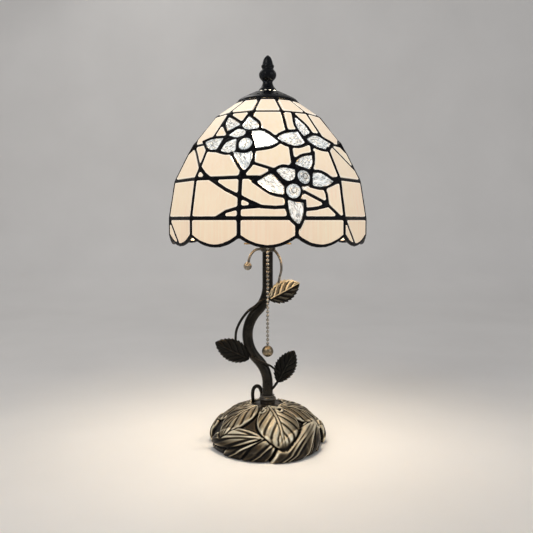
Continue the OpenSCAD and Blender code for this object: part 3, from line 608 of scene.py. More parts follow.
def scallop_bars(corners):
    """Short rods that follow the lowest edge of one skirt pane's lead."""
    centre = corners.mean(axis=0)
    across = np.array([-centre[1], centre[0], 0]) / math.hypot(centre[0], centre[1])
    reach = (corners - centre) @ across
    ends = np.linspace(reach.min(), reach.max(), SCALLOP_STEPS + 1)
    middle = (reach.max() + reach.min()) / 2
    half = (reach.max() - reach.min()) / 2
    low = corners[:, 2].min() + SCALLOP_LEAD * 0.85
    drop = np.ptp(corners[:, 2]) - 1
    places = []
    for x in ends:
        place = centre + across * x
        place[2] = low + drop * ((x - middle) / half) ** 2
        places.append(place)
    for start, end in zip(places, places[1:]):
        yield capsule(start, end, SCALLOP_LEAD)


def lead_rings(node):
    """Points and faces of the rings of lead of a CAD node, in the front third."""
    work = welded(node)
    for island in islands(work):
        if not is_ring(corners_of(island)):
            bmesh.ops.delete(work, geom=island, context="VERTS")
    work.verts.index_update()
    points = [np.array(vert.co) / MM for vert in work.verts]
    faces = [tuple(vert.index for vert in face.verts) for face in work.faces]
    work.free()
    return points, faces


def lead_source():
    """All the lead of the front third as one rough mesh of overlapping solids."""
    parts = []
    for node, reach in LEAD_REACH.items():
        parts += lead_bars(node, reach)
    for node in ("came_vines", "came_petals", "came_jewels"):
        parts.append(lead_rings(node))
    for corners in solids_of("came_hoops"):
        if is_ring(corners):
            parts += scallop_bars(corners)
    points, faces = joined(parts)
    mesh = bpy.data.meshes.new("lead_source")
    mesh.from_pydata((np.array(points) * MM).tolist(), [], faces)
    return mesh


def soldered_lead():
    """One smooth, slightly lumpy network of lead, repeated three times round."""
    rough = bpy.data.objects.new("lead_source", lead_source())
    bpy.context.scene.collection.objects.link(rough)
    lumps = bpy.data.textures.new("lumps", "CLOUDS")
    lumps.noise_scale = 0.006
    for kind, settings in (
        ("REMESH", {"mode": "VOXEL", "voxel_size": LEAD_VOXEL}),
        ("DISPLACE", {"strength": LEAD_SWELL, "mid_level": 0.0}),
        ("REMESH", {"mode": "VOXEL", "voxel_size": LEAD_VOXEL}),
        ("DISPLACE", {"strength": -LEAD_SWELL * 0.95, "mid_level": 0.0}),
        ("SMOOTH", {"factor": 0.6, "iterations": 6}),
        ("DECIMATE", {"ratio": LEAD_SHARE}),
        ("DISPLACE", {"texture": lumps, "strength": 0.0005, "mid_level": 0.5}),
    ):
        modifier = rough.modifiers.new(kind.lower(), kind)
        for key, value in settings.items():
            setattr(modifier, key, value)
    mesh = applied(rough)
    bpy.data.objects.remove(rough)
    for k in range(THIRDS):
        turned = mesh.copy()
        turned.transform(Matrix.Rotation(math.radians(360 / THIRDS * k), 4, "Z"))
        mesh_object(f"lead_third_{k + 1}", turned, "shade", MATERIALS["lead"],
                    LEAD_NODES if k == 0 else ())


# ------------------------------------------------------------------ clear glass
def plane_frame(corners):
    """Centre, two directions in the pane and its outward normal."""
    axes = principal_axes(corners)
    centre = corners.mean(axis=0)
    out = axes[2] * np.sign(axes[2] @ np.array([centre[0], centre[1], 0.2 * abs(centre[0])]))
    across = np.cross((0, 0, 1), out)
    across /= np.linalg.norm(across)
    return centre, across, np.cross(out, across), out


def pane_outline(corners, centre, across, up, out):
    """Outline of the pane's outer face, in order round its centre."""
    flat = corners - centre
    outer = flat[flat @ out > 0.5 * (flat @ out).max()]
    seen = np.unique(np.round(np.c_[outer @ across, outer @ up], 4), axis=0)
    turn = np.arctan2(seen[:, 1], seen[:, 0])
    return seen[np.argsort(turn)]


def resampled(outline, count):
    """Points at even steps along a closed outline."""
    closed = np.vstack([outline, outline[:1]])
    run = np.r_[0, np.cumsum(np.linalg.norm(np.diff(closed, axis=0), axis=1))]
    at = np.linspace(0, run[-1], count, endpoint=False)
    return np.c_[np.interp(at, run, closed[:, 0]), np.interp(at, run, closed[:, 1])]


def hammered(point, seed):
    """Depth of the wavy pressed folds of the glass, from 0 to 1."""
    warp = ripple(point, 0.18, seed) * 4.0
    moved = (point[0] + warp, point[1] - warp, point[2] * 0.8 + warp)
    broad = 1 - min(1.0, abs(ripple(moved, 0.26, seed)) * 6.5)
    tight = 1 - min(1.0, abs(ripple(moved, 0.5, seed + 9)) * 5.5)
    return max(broad, 0.75 * tight)


DASH_ALONG = 0.12
DASH_ACROSS = 0.42


def strokes(x, y, seed):
    """Depth of short parallel dashes, from 0 to 1; they run along x."""
    wave = 1.2 * ripple((x * 0.3, y * 0.3, seed), 1.0, seed)
    line = abs(ripple((x * 0.2, (y + wave) * 0.85, 0), 1.0, seed))
    patch = smoothstep(0.75 + 1.6 * ripple((x * 0.28, y * 0.5, seed), 1.0, seed + 5))
    return max(0.0, 1 - line * 7) * float(patch)


def dashed_pane(corners, seed, rings=20, edge_points=100):
    """Closed pane with dashes pressed into its outer face, along its length."""
    centre, level, up, out = plane_frame(corners)
    outline = resampled(pane_outline(corners, centre, level, up, out), edge_points)
    middle = outline.mean(axis=0)
    long = principal_axes(outline)[0]
    half = np.abs((corners - centre) @ out).max()
    points = []
    press = []
    flow = []
    for side in (1, -1):
        for ring in range(rings, 0, -1):
            share = ring / rings
            for x, y in middle + (outline - middle) * share:
                place = centre + level * x + up * y
                along = x * long[0] + y * long[1]
                across = y * long[0] - x * long[1]
                fold = strokes(along, across, seed)
                thick = half * (1 - 0.3 * max(0.0, share - 0.85) / 0.15)
                if side == 1:
                    thick += 0.4 - 0.6 * fold
                points.append(place + out * thick * side)
                press.append(fold)
                flow.append((along * DASH_ALONG + seed * 7, across * DASH_ACROSS))
        points.append(centre + level * middle[0] + up * middle[1] + out * half * side)
        press.append(0)
        flow.append(flow[-1])
    per_side = rings * edge_points + 1
    faces = []
    for side in range(2):
        first = side * per_side
        turned = grid_faces(rings, edge_points, closed_columns=True, first=first)
        last = first + (rings - 1) * edge_points
        fan = [(last + j, last + (j + 1) % edge_points, first + per_side - 1) for j in range(edge_points)]
        some = turned + fan
        faces += some if side == 0 else [f[::-1] for f in some]
    for j in range(edge_points):
        k = (j + 1) % edge_points
        faces.append((j, per_side + j, per_side + k, k))
    return points, faces, press, flow


def pressed_pieces(name, node, material, make):
    """One piece for all the solids of a node, each remade by make(corners, seed)."""
    made = [make(corners, 3.1 * k + len(node)) for k, corners in enumerate(solids_of(node))]
    points, faces = joined([(pane[0], pane[1]) for pane in made])
    press = [value for pane in made for value in pane[2]]
    flow = [place for pane in made for place in pane[3]]
    piece = mesh_piece(name, points, faces, "shade", MATERIALS[material], [node])
    write_values(piece, "press", press)
    write_values(piece, "along", [place[0] for place in flow])
    write_values(piece, "across", [place[1] for place in flow])


def petal_glass():
    """The flower, bud and blossom petals, each pane with its own dashes."""
    for node in ("petals_flower", "petals_bud", "petals_blossom"):
        pressed_pieces(f"{node}_glass", node, "petal", dashed_pane)


def jewel_points(corners, seed, rings=26, spokes=72):
    """A pressed round jewel: a dome with a ring of soft lobes and a swirled eye."""
    centre, across, up, out = plane_frame(corners)
    flat = corners - centre
    radius = np.linalg.norm(flat - np.outer(flat @ out, out), axis=1).max()
    low = (flat @ out).min()
    high = (flat @ out).max()
    points = []
    press = []
    flow = []
    for ring in range(rings + 1):
        share = ring / rings
        dome = low + (high - low) * (0.45 + 0.55 * math.sqrt(max(0.0, 1 - share ** 2)))
        for spoke in range(spokes):
            turn = 2 * math.pi * spoke / spokes
            swirl = math.cos(5 * turn + 5 * share + seed)
            lobes = 0.3 * swirl * math.sin(math.pi * share) ** 2
            eye = math.exp(-((share - 0.36 - 0.05 * swirl) / 0.09) ** 2)
            r = radius * share
            place = centre + across * r * math.cos(turn) + up * r * math.sin(turn)
            fold = max(eye, 0.8 * max(0.0, -swirl) * math.sin(math.pi * share) ** 2,
                       0.7 * hammered(place, seed))
            points.append(place + out * (dome + lobes - 0.45 * eye))
            press.append(fold)
            flow.append((2 * share + seed, 1.5 * math.sin(turn + 2 * share)))
    rim = rings * spokes
    back = len(points)
    for spoke in range(spokes):
        turn = 2 * math.pi * spoke / spokes
        points.append(centre + (across * math.cos(turn) + up * math.sin(turn)) * radius + out * low)
    points.append(centre + out * low)
    press += [0] * (spokes + 1)
    flow += [(seed, 0)] * (spokes + 1)
    faces = [f[::-1] for f in grid_faces(rings + 1, spokes, closed_columns=True)]
    for j in range(spokes):
        k = (j + 1) % spokes
        faces.append((rim + j, back + j, back + k, rim + k))
        faces.append((back + k, back + j, len(points) - 1))
    return points, faces, press, flow


def jewel_glass():
    """The round jewels."""
    pressed_pieces("jewel_glass", "jewels", "jewel", jewel_points)


# ------------------------------------------------------------------ base
def smoothstep(x):
    """Rises softly from 0 to 1 while x goes from 0 to 1."""
    x = np.clip(x, 0, 1)
    return x * x * (3 - 2 * x)


def around(radius, turn, height):
    """Points at an angle from the front, in radians, round the lamp's axis."""
    return np.stack(np.broadcast_arrays(radius * np.sin(turn), -radius * np.cos(turn), height), axis=-1)


def blurred(field, passes):
    """Field on a grid whose columns run round the base, softened over its neighbours."""
    for _ in range(passes):
        field = (np.roll(field, 1, 1) + np.roll(field, -1, 1) + 2 * field) / 4
        padded = np.vstack([field[:1], field, field[-1:]])
        field = (padded[:-2] + padded[2:] + 2 * field) / 4
    return field


def plan_point(place):
    """Place on the flattened dome: angle from the front and distance from the middle."""
    return around(place[1], math.radians(place[0]), 0.0)[:2]


class Leaf:
    """A leaf laid on the dome, from its foot to its tip, in (angle, distance) places."""

    def __init__(self, foot, tip, width, bow=0.0, rise=2.0, veins=5, full=0.85, blunt=0.7,
                 sweep=0.5, double=False):
        self.foot = foot
        self.tip = tip
        self.width = width
        self.bow = bow
        self.rise = rise
        self.veins = veins
        self.full = full
        self.blunt = blunt
        self.sweep = sweep
        self.double = double

    def lay(self, plan, field):
        """Puts the leaf over what is already in the field."""
        foot = plan_point(self.foot)
        axis = plan_point(self.tip) - foot
        length = np.linalg.norm(axis)
        axis /= length
        across = np.array([-axis[1], axis[0]])
        t = ((plan - foot) @ axis) / length
        inside_t = np.clip(t, 0.001, 0.999)
        off = (plan - foot) @ across - self.bow * 4 * inside_t * (1 - inside_t)
        half = self.width / 2 * np.sin(math.pi * inside_t ** self.full) ** self.blunt
        edge = np.abs(off) / half + np.where((t < 0) | (t > 1), 9, 0)
        gap = (edge - 1) * half
        shape = self.rise * (0.55 + 0.45 * np.sqrt(np.clip(1 - edge ** 2, 0, 1)))
        shape += self.ribs(inside_t, off, edge, length)
        shape *= smoothstep(-gap / 0.9) ** 0.5
        shape += 0.35 * np.clip(blurred(field, 16), 0, 3)
        under = field - 1.7 * np.exp(-(np.clip(gap, 0, None) / 1.2) ** 2)
        return np.where(edge < 1, shape, under)

    def ribs(self, t, off, edge, length):
        """Midrib and curved side veins, each a thin ridge between two grooves."""
        fade = smoothstep((1 - edge) / 0.2) * smoothstep((0.97 - t) / 0.16)
        reach = np.abs(off)
        if self.double:
            mid = 0.8 * np.exp(-((reach - 1.5) / 0.7) ** 2) - 1.1 * np.exp(-(off / 0.7) ** 2)
            mid -= 0.9 * np.exp(-((reach - 3.1) / 0.7) ** 2)
        else:
            mid = 0.9 * np.exp(-(off / 0.75) ** 2) - 0.9 * np.exp(-((reach - 1.7) / 0.6) ** 2)
        if not self.veins:
            return mid * fade
        run = self.veins * (t - self.sweep * np.clip(edge, 0, 1) ** 0.9 + 0.15)
        lean = math.atan2(self.width / 2, self.sweep * length)
        pitch = length / self.veins * math.sin(lean)
        from_vein = np.abs(run - np.round(run)) * pitch
        groove = -1.1 * np.exp(-((from_vein - 0.55) / 0.45) ** 2)
        ridge = 0.5 * np.exp(-(from_vein / 0.35) ** 2)
        belly = 0.8 * np.sin(math.pi * np.clip(from_vein / (pitch / 2), 0, 1) / 2)
        out = smoothstep((reach - 1.3) / 1.2)
        return mid * fade * (1 - 0.5 * t) + (groove + ridge + belly) * out * fade


BASE_DATUM = 2.3
BASE_BORE = 5.3
LOOP_PLACES = ((-12, 27), (26, 26))
# Places of painted highlight on the base, worn bright as well: (angle, spread, gain).
RUBBED_AND_HIGHLIT_PLACES = ((12, 20, 0.32), (-42, 16, 0.16), (68, 18, 0.12))
INNER_RADII = (54.6, 54.6, 50, 40, 26, 12, BASE_BORE)
INNER_HEIGHTS = (1.0, 9, 16, 24, 31.5, 35.5)
BASE_WALL = 4.5
LIP_START = 66
LIP_RUN = 12
FRONT_FLARE = 6.0
FRONT_SPREAD = 50
LOW_LEAVES = [
    Leaf((-20, 60), (-75, 88), 26, 5, 4.2, 0),
    Leaf((2, 62), (-50, 93), 22, 5, 5.6, 0),
    Leaf((10, 64), (-28, 95), 20, 4, 5.2, 0),
    Leaf((-6, 61), (-73, 76), 20, 7, 4.4, 2, sweep=0.75),
    Leaf((100, 58), (84, 92), 22, -3, 4.6, 3),
    Leaf((72, 50), (56, 94), 22, -6, 4.0, 0),
    Leaf((74, 54), (36, 96), 26, -4, 4.8, 0, double=True),
    Leaf((66, 54), (-4, 95), 26, 12, 8.6, 0, 1.15, double=True),
    Leaf((-112, 56), (-88, 91), 27, 5, 4.2, 3, sweep=0.7),
    Leaf((-150, 58), (-120, 90), 28, 6, 4.4, 3, sweep=0.7),
    Leaf((150, 58), (118, 90), 28, -6, 4.4, 3, sweep=0.7),
    Leaf((-168, 60), (-150, 86), 20, 4, 3.4, 0),
    Leaf((168, 60), (150, 86), 20, -4, 3.4, 0),
]
HIGH_LEAVES = [
    Leaf((175, 17), (178, 66), 38, 0, 2.8, 5),
    Leaf((122, 17), (128, 66), 40, 3, 3.0, 5),
    Leaf((-128, 17), (-134, 66), 40, -3, 3.0, 5),
    Leaf((74, 17), (100, 62), 36, 3, 3.0, 5, sweep=0.6),
    Leaf((-84, 17), (-92, 58), 36, -3, 3.0, 5, sweep=0.6),
    Leaf((40, 17), (77, 64), 36, 4, 3.4, 4, sweep=0.5),
    Leaf((-36, 17), (-54, 68), 35, -3, 3.6, 4, sweep=0.5),
    Leaf((3, 17), (15, 72), 47, 2, 4.4, 5, 1.0, 0.6, sweep=0.45),
]


def base_field(plan, arc, turn):
    """Height of the relief over the datum of the dome at each point of the grid."""
    field = (1.9 + 0.35 * np.cos(11 * turn)) * smoothstep((30 - arc) / 10)
    for leaf in LOW_LEAVES + HIGH_LEAVES:
        field = leaf.lay(plan, field)
    for place in LOOP_PLACES:
        loop = np.linalg.norm(plan - plan_point(place), axis=-1)
        field += 2.0 * np.exp(-((loop - 3.3) / 1.0) ** 2) - 3.2 * np.exp(-(loop / 2.0) ** 2)
    collar = smoothstep((arc - 9.5) / 6)
    return np.clip(field, -1.0, 9) * collar + BASE_DATUM * (1 - collar)


def dome_profile(count):
    """Outer side of the cast dome, from the collar to the rim, by equal steps."""
    low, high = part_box("base_casting")
    rim = high.x / MM
    top = high.z / MM
    foot = 8.0
    crown = 9.5
    power = 1.15
    a = np.radians(np.linspace(0, 90, 300))
    r = np.r_[BASE_BORE, crown + (rim - crown) * np.sin(a) ** power, rim - 1]
    z = np.r_[top, foot + (top - foot) * np.cos(a) ** power, low.z / MM]
    run = np.r_[0, np.cumsum(np.hypot(np.diff(r), np.diff(z)))]
    at = np.linspace(0, run[-1], count)
    return np.interp(at, run, r), np.interp(at, run, z), at + BASE_BORE


def base_tone(field, arc, turn):
    """Brightness of the bronze from 0 to 1: dark in hollows, painted shade toward the rim, a few places worn
    bright with a painted highlight, and a little lighter where the relief stands higher.
    """
    cavity = field - blurred(field, 12)
    # Painted shade: darker toward the rim.
    shade = 0.26 * smoothstep((arc - 60) / 12)
    # Painted highlight: a few leaves made brighter.
    rubbed_and_highlit = 0
    for angle, spread, gain in RUBBED_AND_HIGHLIT_PLACES:
        rubbed_and_highlit = rubbed_and_highlit + gain * np.exp(-((np.degrees(turn) - angle) / spread) ** 2)
    rubbed_and_highlit = rubbed_and_highlit * smoothstep((75 - arc) / 10)
    return np.clip(0.46 + cavity * 0.7 + 0.03 * (field - field.mean()) - shade + rubbed_and_highlit, 0, 1)


def leaf_base(rows=158, columns=580):
    """The cast base: overlapping veined leaves over a hollow dome."""
    r, z, arc = dome_profile(rows)
    turn = np.linspace(-math.pi, math.pi, columns, endpoint=False)
    plan = around(arc[:, None], turn, 0.0)[..., :2]
    field = blurred(base_field(plan, arc[:, None], turn), 1) - BASE_DATUM
    slope_r = np.gradient(r)
    slope_z = np.gradient(z)
    size = np.hypot(slope_r, slope_z)
    out_r = -slope_z / size
    out_z = slope_r / size
    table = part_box("base_casting")[0].z / MM
    lip = smoothstep((arc[:, None] - LIP_START) / LIP_RUN)
    flare = FRONT_FLARE * np.exp(-(np.degrees(turn) / FRONT_SPREAD) ** 2) - np.sin(turn) ** 2
    far = r[:, None] + out_r[:, None] * field + lip * flare
    high = np.maximum(z[:, None] + out_z[:, None] * field, table)
    inner_r = np.array(INNER_RADII)
    inner_z = np.array([*INNER_HEIGHTS, z[0] - BASE_WALL])
    outer = around(far, turn, high).reshape(-1, 3)
    inner = around(inner_r[:, None], turn, inner_z[:, None]).reshape(-1, 3)
    points = np.vstack([outer, inner])
    faces = grid_faces(rows + len(inner_r), columns, closed_rows=True, closed_columns=True)
    piece = mesh_piece("leaf_base", points, [f[::-1] for f in faces], "root",
                       MATERIALS["base"], ["base_casting"])
    # The relief tone holds the patina of the hollows, painted shade and painted highlights.
    relief = base_tone(field, arc[:, None], turn)
    write_values(piece, "relief", np.r_[relief.ravel(), np.full(len(inner), 0.3)])


# ------------------------------------------------------------------ leaves on the stem
LEAF_ROWS = 150
LEAF_COLUMNS = 61
LEAF_THICK = 1.2
LEAF_VEINS = 5
LEAF_FOLD = 20


def leaf_relief(along, u, off, length):
    """Relief of a stem leaf, and how far each point is past its nearest side vein."""
    run = LEAF_VEINS * (along - 0.32 * np.abs(u) ** 1.15 + 0.1)
    pitch = length / LEAF_VEINS * 0.75
    past_vein = (run - np.round(run)) * pitch
    from_vein = np.abs(past_vein)
    fade = smoothstep((1 - np.abs(u)) / 0.2)
    mid = 0.6 * np.exp(-(off / 0.8) ** 2)
    quilt = 0.55 * np.sin(math.pi * np.clip(from_vein / (pitch / 2), 0, 1) / 2) * smoothstep(off / 2.5)
    groove = -0.5 * np.exp(-(from_vein / 0.5) ** 2) * smoothstep(off / 1.2)
    return mid + (quilt + groove) * fade, past_vein


def leaf_tone(relief, past_vein, u, off, gild_and_highlight):
    """Brightness of a stem leaf from 0 to 1, with a painted highlight on its ridges and rim that is
    strongest on one half.
    """
    # Painted light: one half of the leaf lighter and the other darker.
    lit_half = smoothstep(0.5 + u * 4) - 0.5
    ridge = np.maximum(np.exp(-(off / 1.0) ** 2), np.exp(-((past_vein - 1.4) / 0.8) ** 2))
    rubbed_and_highlit = np.maximum(ridge, smoothstep((np.abs(u) - 0.72) / 0.2))
    tone = 0.3 + 0.9 * (relief - blurred(relief, 10)) + gild_and_highlight * (lit_half + 0.1) * (0.1 + rubbed_and_highlit)
    return np.clip(tone, 0, 1)


def border_of(rows, columns):
    """Numbers of a grid's points once round its border."""
    border = list(range(columns))
    border += [i * columns + columns - 1 for i in range(1, rows)]
    border += [(rows - 1) * columns + j for j in range(columns - 2, -1, -1)]
    border += [i * columns for i in range(rows - 2, 0, -1)]
    return border


def slab_faces(rows, columns):
    """Faces of a front grid, the back grid that follows it, and the wall between them."""
    grid = grid_faces(rows, columns)
    border = border_of(rows, columns)
    count = rows * columns
    front = [face[::-1] for face in grid]
    back = [tuple(k + count for k in face) for face in grid]
    wall = [(p, q, q + count, p + count) for p, q in zip(border, border[1:] + border[:1])]
    return front + back + wall


def stem_leaf(name, node, foot, length, width, direction, material, gild_and_highlight=0.0, teeth=11):
    """A serrated, veined leaf with a raised midrib, on the plane of its CAD blades."""
    t, u = np.meshgrid(np.linspace(0, 1, LEAF_ROWS), np.linspace(-1, 1, LEAF_COLUMNS), indexing="ij")
    along = np.clip(t, 0.002, 0.998)
    half = width / 2 * np.sin(math.pi * along ** 0.85) ** 0.75
    tooth = (along * teeth + 0.1 * np.abs(u)) % 1
    half = half + 1.5 * (tooth - 0.35) * smoothstep((0.98 - along) / 0.1) * smoothstep(along / 0.12)
    x = length * t + 1.1 * np.abs(u) ** 6 * np.sin(math.pi * along)
    y = u * half
    off = np.abs(y)
    relief, past_vein = leaf_relief(along, u, off, length)
    folded = -off * math.tan(math.radians(LEAF_FOLD)) - 1.2 * (2 * along - 1) ** 2
    edge = 0.35 + 0.65 * smoothstep((1 - np.abs(u)) / 0.15)
    ends = smoothstep(np.minimum(along, 1 - along) / 0.04)
    front = folded + LEAF_THICK * edge * (0.4 + 0.6 * ends) + relief
    back = folded + 0.35 * relief
    turn = math.radians(direction)
    x_axis = np.array([math.cos(turn), 0, math.sin(turn)])
    y_axis = np.array([-math.sin(turn), 0, math.cos(turn)])
    z_axis = np.array([0, -1, 0])
    layers = []
    for z in (front, back):
        place = x[..., None] * x_axis + y[..., None] * y_axis + z[..., None] * z_axis
        layers.append((np.asarray(foot) + place).reshape(-1, 3))
    piece = mesh_piece(name, np.vstack(layers), slab_faces(LEAF_ROWS, LEAF_COLUMNS), "root",
                       MATERIALS[material], [node])
    tone = leaf_tone(relief, past_vein, u, off, gild_and_highlight).ravel()
    write_values(piece, "relief", np.r_[tone, tone])


# ------------------------------------------------------------------ rods on the stem
def smooth_route(points, steps=14):
    """Catmull-Rom curve through a few points."""
    p = np.vstack([2 * np.array(points[0]) - points[1], points, 2 * np.array(points[-1]) - points[-2]])
    made = []
    for k in range(1, len(p) - 2):
        for s in range(steps):
            t = s / steps
            made.append(0.5 * (2 * p[k] + (p[k + 1] - p[k - 1]) * t
                               + (2 * p[k - 1] - 5 * p[k] + 4 * p[k + 1] - p[k + 2]) * t ** 2
                               + (3 * p[k] - p[k - 1] - 3 * p[k + 1] + p[k + 2]) * t ** 3))
    made.append(p[-2])
    return np.array(made)


def swept(route, radii, spokes=20):
    """Closed tube along a route, with a radius at each of its points."""
    along = np.gradient(route, axis=0)
    along /= np.linalg.norm(along, axis=1)[:, None]
    side = np.cross(along, (0, 1, 0))
    side /= np.linalg.norm(side, axis=1)[:, None]
    up = np.cross(side, along)
    turn = np.linspace(0, 2 * math.pi, spokes, endpoint=False)
    rings = (route[:, None] + radii[:, None, None]
             * (side[:, None] * np.cos(turn)[:, None] + up[:, None] * np.sin(turn)[:, None]))
    points = np.vstack([rings.reshape(-1, 3), route[:1], route[-1:]])
    return points, tube_faces(len(route), spokes)


def tapered_rod(name, node, route, start_r, end_r, material):
    """A tapering rod whose far end is rounded off."""
    line = smooth_route(route)
    share = np.linspace(0, 1, len(line))
    radii = start_r + (end_r - start_r) * share
    tip = np.clip((1 - share) / 0.03, 0, 1)
    radii = radii * np.sqrt(np.clip(1 - (1 - tip) ** 2, 0.02, 1))
    points, faces = swept(line, radii)
    return mesh_piece(name, points, faces, "root", MATERIALS[material], [node])


def ball(centre, radius, rings=24, spokes=36):
    """Points and faces of a cast ball with a fine parting line, from the top down."""
    points = []
    for ring in range(1, rings):
        tilt = math.pi * ring / rings
        swell = radius * (1 + 0.012 * math.exp(-((tilt - math.pi / 2) / 0.06) ** 2))
        for spoke in range(spokes):
            turn = 2 * math.pi * spoke / spokes
            points.append(np.array(centre) + swell * np.array([
                math.sin(tilt) * math.cos(turn), math.sin(tilt) * math.sin(turn), math.cos(tilt)]))
    points += [np.array(centre) + (0, 0, radius), np.array(centre) - (0, 0, radius)]
    return points, [face[::-1] for face in tube_faces(rings - 1, spokes)]


WIRE_R = 1.35
BALL_R = 4.3
TENDRIL_LEFT = [(-6.5, -2, 206), (-12, -4, 205.5), (-16.4, -5, 202), (-19.2, -5.5, 196.5),
                (-20.4, -5.5, 190)]
TENDRIL_BALL = (-20.9, -5.5, 188.2)
TENDRIL_RIGHT = [(6, -3, 206), (10.5, -4.5, 200.5), (13.7, -6, 193.3), (14.3, -7, 184.5),
                 (12.4, -7.4, 176.5), (11.3, -7.5, 170)]
VINE_MID = [(3, -7.2, 154.5), (-6.7, -7, 151.7), (-13.2, -6.6, 146.2), (-20.6, -5.5, 140.7),
            (-28.2, -4.5, 130.8), (-33, -4.5, 120), (-34, -4.8, 109)]
VINE_LOWER = [(-17, -6.6, 92.5), (-10, -6.9, 88.6), (-3, -6.4, 85.2), (3, -5.5, 82.6),
              (8, -4.6, 78.4), (13, -4.4, 74)]
BASE_CURL = [(-6, 6, 44.5), (-6.4, 7, 51.5), (-9, 7.8, 56.6), (-12.4, 8, 57.4), (-15.2, 8, 54.4),
             (-16.2, 8, 48.5), (-15.4, 8, 39)]
LEAF_STALK = [(4.6, -2.6, 57), (7, -3.8, 60), (11.5, -3.6, 66.5)]


def rods():
    """The tendrils, the vines and the curl on the base."""
    tapered_rod("tendril_right_wire", "tendril_right", TENDRIL_RIGHT, WIRE_R, 1.2, "wire")
    tapered_rod("vine_mid_rod", "vine_mid", VINE_MID, 1.5, 1.3, "stem")
    tapered_rod("vine_lower_rod", "vine_lower", VINE_LOWER, 1.4, 1.0, "stem")
    tapered_rod("base_curl_rod", "base_curl", BASE_CURL, 2.2, 1.8, "stem")
    line = smooth_route(TENDRIL_LEFT)
    points, faces = joined([swept(line, np.full(len(line), WIRE_R)), ball(TENDRIL_BALL, BALL_R)])
    mesh_piece("tendril_left_wire", points, faces, "root", MATERIALS["wire"],
               ["tendril_left"])


def leaves():
    """The three leaves on the stem and the stalk of the lowest one."""
    stem_leaf("leaf_upper_blade", "leaf_upper", (1.5, -7.3, 153), 36.5, 22.5, 29, "gilt_leaf",
              gild_and_highlight=1.0, teeth=9)
    stem_leaf("leaf_left_blade", "leaf_left", (-19.5, -6.8, 90), 40, 23.5, 153.5, "leaf")
    stem_leaf("leaf_lower_blade", "leaf_lower", (10.5, -4.6, 64.5), 38.5, 21.5, 62.5, "leaf")
    line = smooth_route(LEAF_STALK)
    points, faces = swept(line, np.full(len(line), WIRE_R))
    mesh_piece("leaf_lower_stalk", points, faces, "root", MATERIALS["stem"])


# ------------------------------------------------------------------ finial
# (share of the height, radius)
FINIAL_PROFILE = [
    (0.0, 9.1), (0.02, 9.1), (0.05, 8.5), (0.1, 7.0), (0.16, 5.8), (0.21, 5.2), (0.25, 5.1),
    (0.28, 5.8), (0.33, 7.6), (0.38, 8.7), (0.43, 9.15), (0.48, 9.0), (0.53, 8.1), (0.57, 7.0),
    (0.6, 6.1), (0.625, 5.9), (0.65, 6.4), (0.68, 6.75), (0.71, 6.5), (0.74, 5.7), (0.79, 5.2),
    (0.85, 4.6), (0.9, 3.9), (0.94, 3.0), (0.975, 1.8), (0.992, 0.9), (1.0, 0.05),
]
FLUTES = 12


def finial(spokes=96):
    """Turned finial with flutes cut into its lower bulb."""
    low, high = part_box("finial")
    foot = low.z / MM
    tall = (high.z - low.z) / MM
    share, size = np.array(FINIAL_PROFILE).T
    fine = np.linspace(0, 1, 150)
    radius = np.interp(fine, share, size)
    radius = np.convolve(np.r_[radius[:1], radius, radius[-1:]], [0.25, 0.5, 0.25], "valid")
    turn = np.linspace(0, 2 * math.pi, spokes, endpoint=False)
    flute = 0.4 * np.exp(-((fine - 0.42) / 0.09) ** 2)
    ring = radius[:, None] - flute[:, None] * (0.5 + 0.5 * np.cos(FLUTES * turn))
    z = foot + tall * fine
    points = np.stack([ring * np.cos(turn), ring * np.sin(turn), np.repeat(z[:, None], spokes, 1)], -1)
    points = np.vstack([points.reshape(-1, 3), [[0, 0, foot]], [[0, 0, foot + tall]]])
    faces = tube_faces(len(fine), spokes)
    mesh_piece("finial_turned", points, faces, "finial", MATERIALS["black"], ["finial"])


# ------------------------------------------------------------------ studio
def area_light(name, place, target, size, power, colour):
    """A square lamp that faces its target."""
    data = bpy.data.lights.new(name, "AREA")
    data.size = size
    data.energy = power
    data.color = colour
    lamp = bpy.data.objects.new(name, data)
    lamp.location = place
    lamp.rotation_euler = (Vector(target) - Vector(place)).to_track_quat("-Z", "Y").to_euler()
    bpy.context.scene.collection.objects.link(lamp)
    return lamp


# (distance behind the lamp, height) of the floor and the backdrop that it becomes
FLOOR_SWEEP = [(-2.0, 0), (0.9, 0), (1.1, 0.02), (1.25, 0.09), (1.32, 0.2), (1.35, 0.4), (1.35, 2.6)]
FLOOR_HALF = 3.0


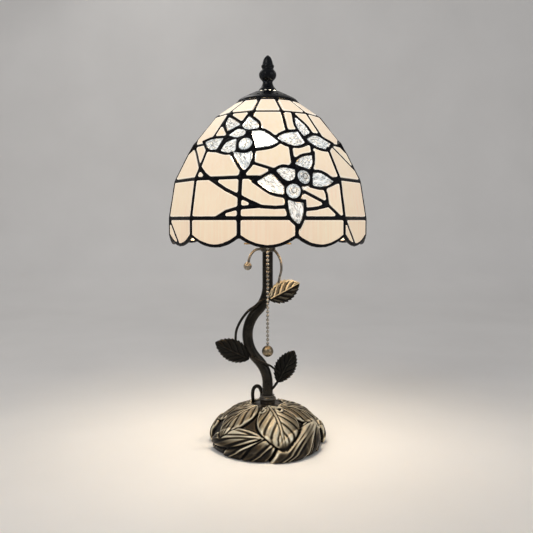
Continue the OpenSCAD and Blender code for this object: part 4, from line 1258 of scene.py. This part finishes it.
def studio():
    """Pale floor that sweeps up behind the lamp, soft light all round, and the bulb's own light."""
    surface = Surface("floor", (0.72, 0.7, 0.67), 0, 0.55)
    surface.colour(surface.mottle(6, 3, (0.3, (0.8, 0.785, 0.765)), (0.7, (0.84, 0.825, 0.805))))
    points = [(x, y, z) for y, z in FLOOR_SWEEP for x in (-FLOOR_HALF, FLOOR_HALF)]
    mesh = bpy.data.meshes.new("floor")
    mesh.from_pydata(points, [], grid_faces(len(FLOOR_SWEEP), 2))
    mesh.polygons.foreach_set("use_smooth", [True] * len(mesh.polygons))
    mesh.materials.append(surface.material)
    floor = bpy.data.objects.new("floor", mesh)
    bpy.context.scene.collection.objects.link(floor)
    middle = (0, 0, 0.2)
    area_light("key", (-0.9, -1.1, 1.3), middle, 0.9, 9, (1.0, 0.97, 0.93))
    area_light("fill", (1.2, -0.8, 0.7), middle, 1.0, 3.5, (0.95, 0.97, 1.0))
    area_light("rim", (-0.5, 1.0, 1.3), middle, 0.6, 2, (1.0, 0.98, 0.95))
    glow = area_light("bulb_glow", (0, 0, 0.272), (0, 0, 0), 0.07, 0.85, (1.0, 0.88, 0.7))
    cap_glow = area_light("cap_glow", (0, 0, 0.35), (0, 0, 1), 0.03, 0.5, (1.0, 0.9, 0.75))
    for lamp in (glow, cap_glow):
        lamp.visible_camera = False
        lamp.visible_transmission = False
        lamp.visible_glossy = False
    world = bpy.data.worlds.new("studio")
    world.use_nodes = True
    world.node_tree.nodes["Background"].inputs["Color"].default_value = (0.78, 0.78, 0.8, 1)
    world.node_tree.nodes["Background"].inputs["Strength"].default_value = 0.42
    bpy.context.scene.world = world
    bpy.context.scene.view_settings.view_transform = "Standard"


CAMERA_PLACE = (-0.0012, -0.7015, 0.2355)
CAMERA_DOWN_DEG = 3.91


def camera():
    """Looks down a little on the lamp, from in front."""
    data = bpy.data.cameras.new("camera")
    data.sensor_width = 36
    data.lens = 45.0
    data.clip_start = 0.01
    view = bpy.data.objects.new("camera", data)
    view.location = CAMERA_PLACE
    view.rotation_euler = (math.radians(90 - CAMERA_DOWN_DEG), 0, 0)
    bpy.context.scene.collection.objects.link(view)
    bpy.context.scene.camera = view


camera()
studio()
dress_nodes()
soldered_lead()
petal_glass()
jewel_glass()
leaf_base()
leaves()
rods()
finial()
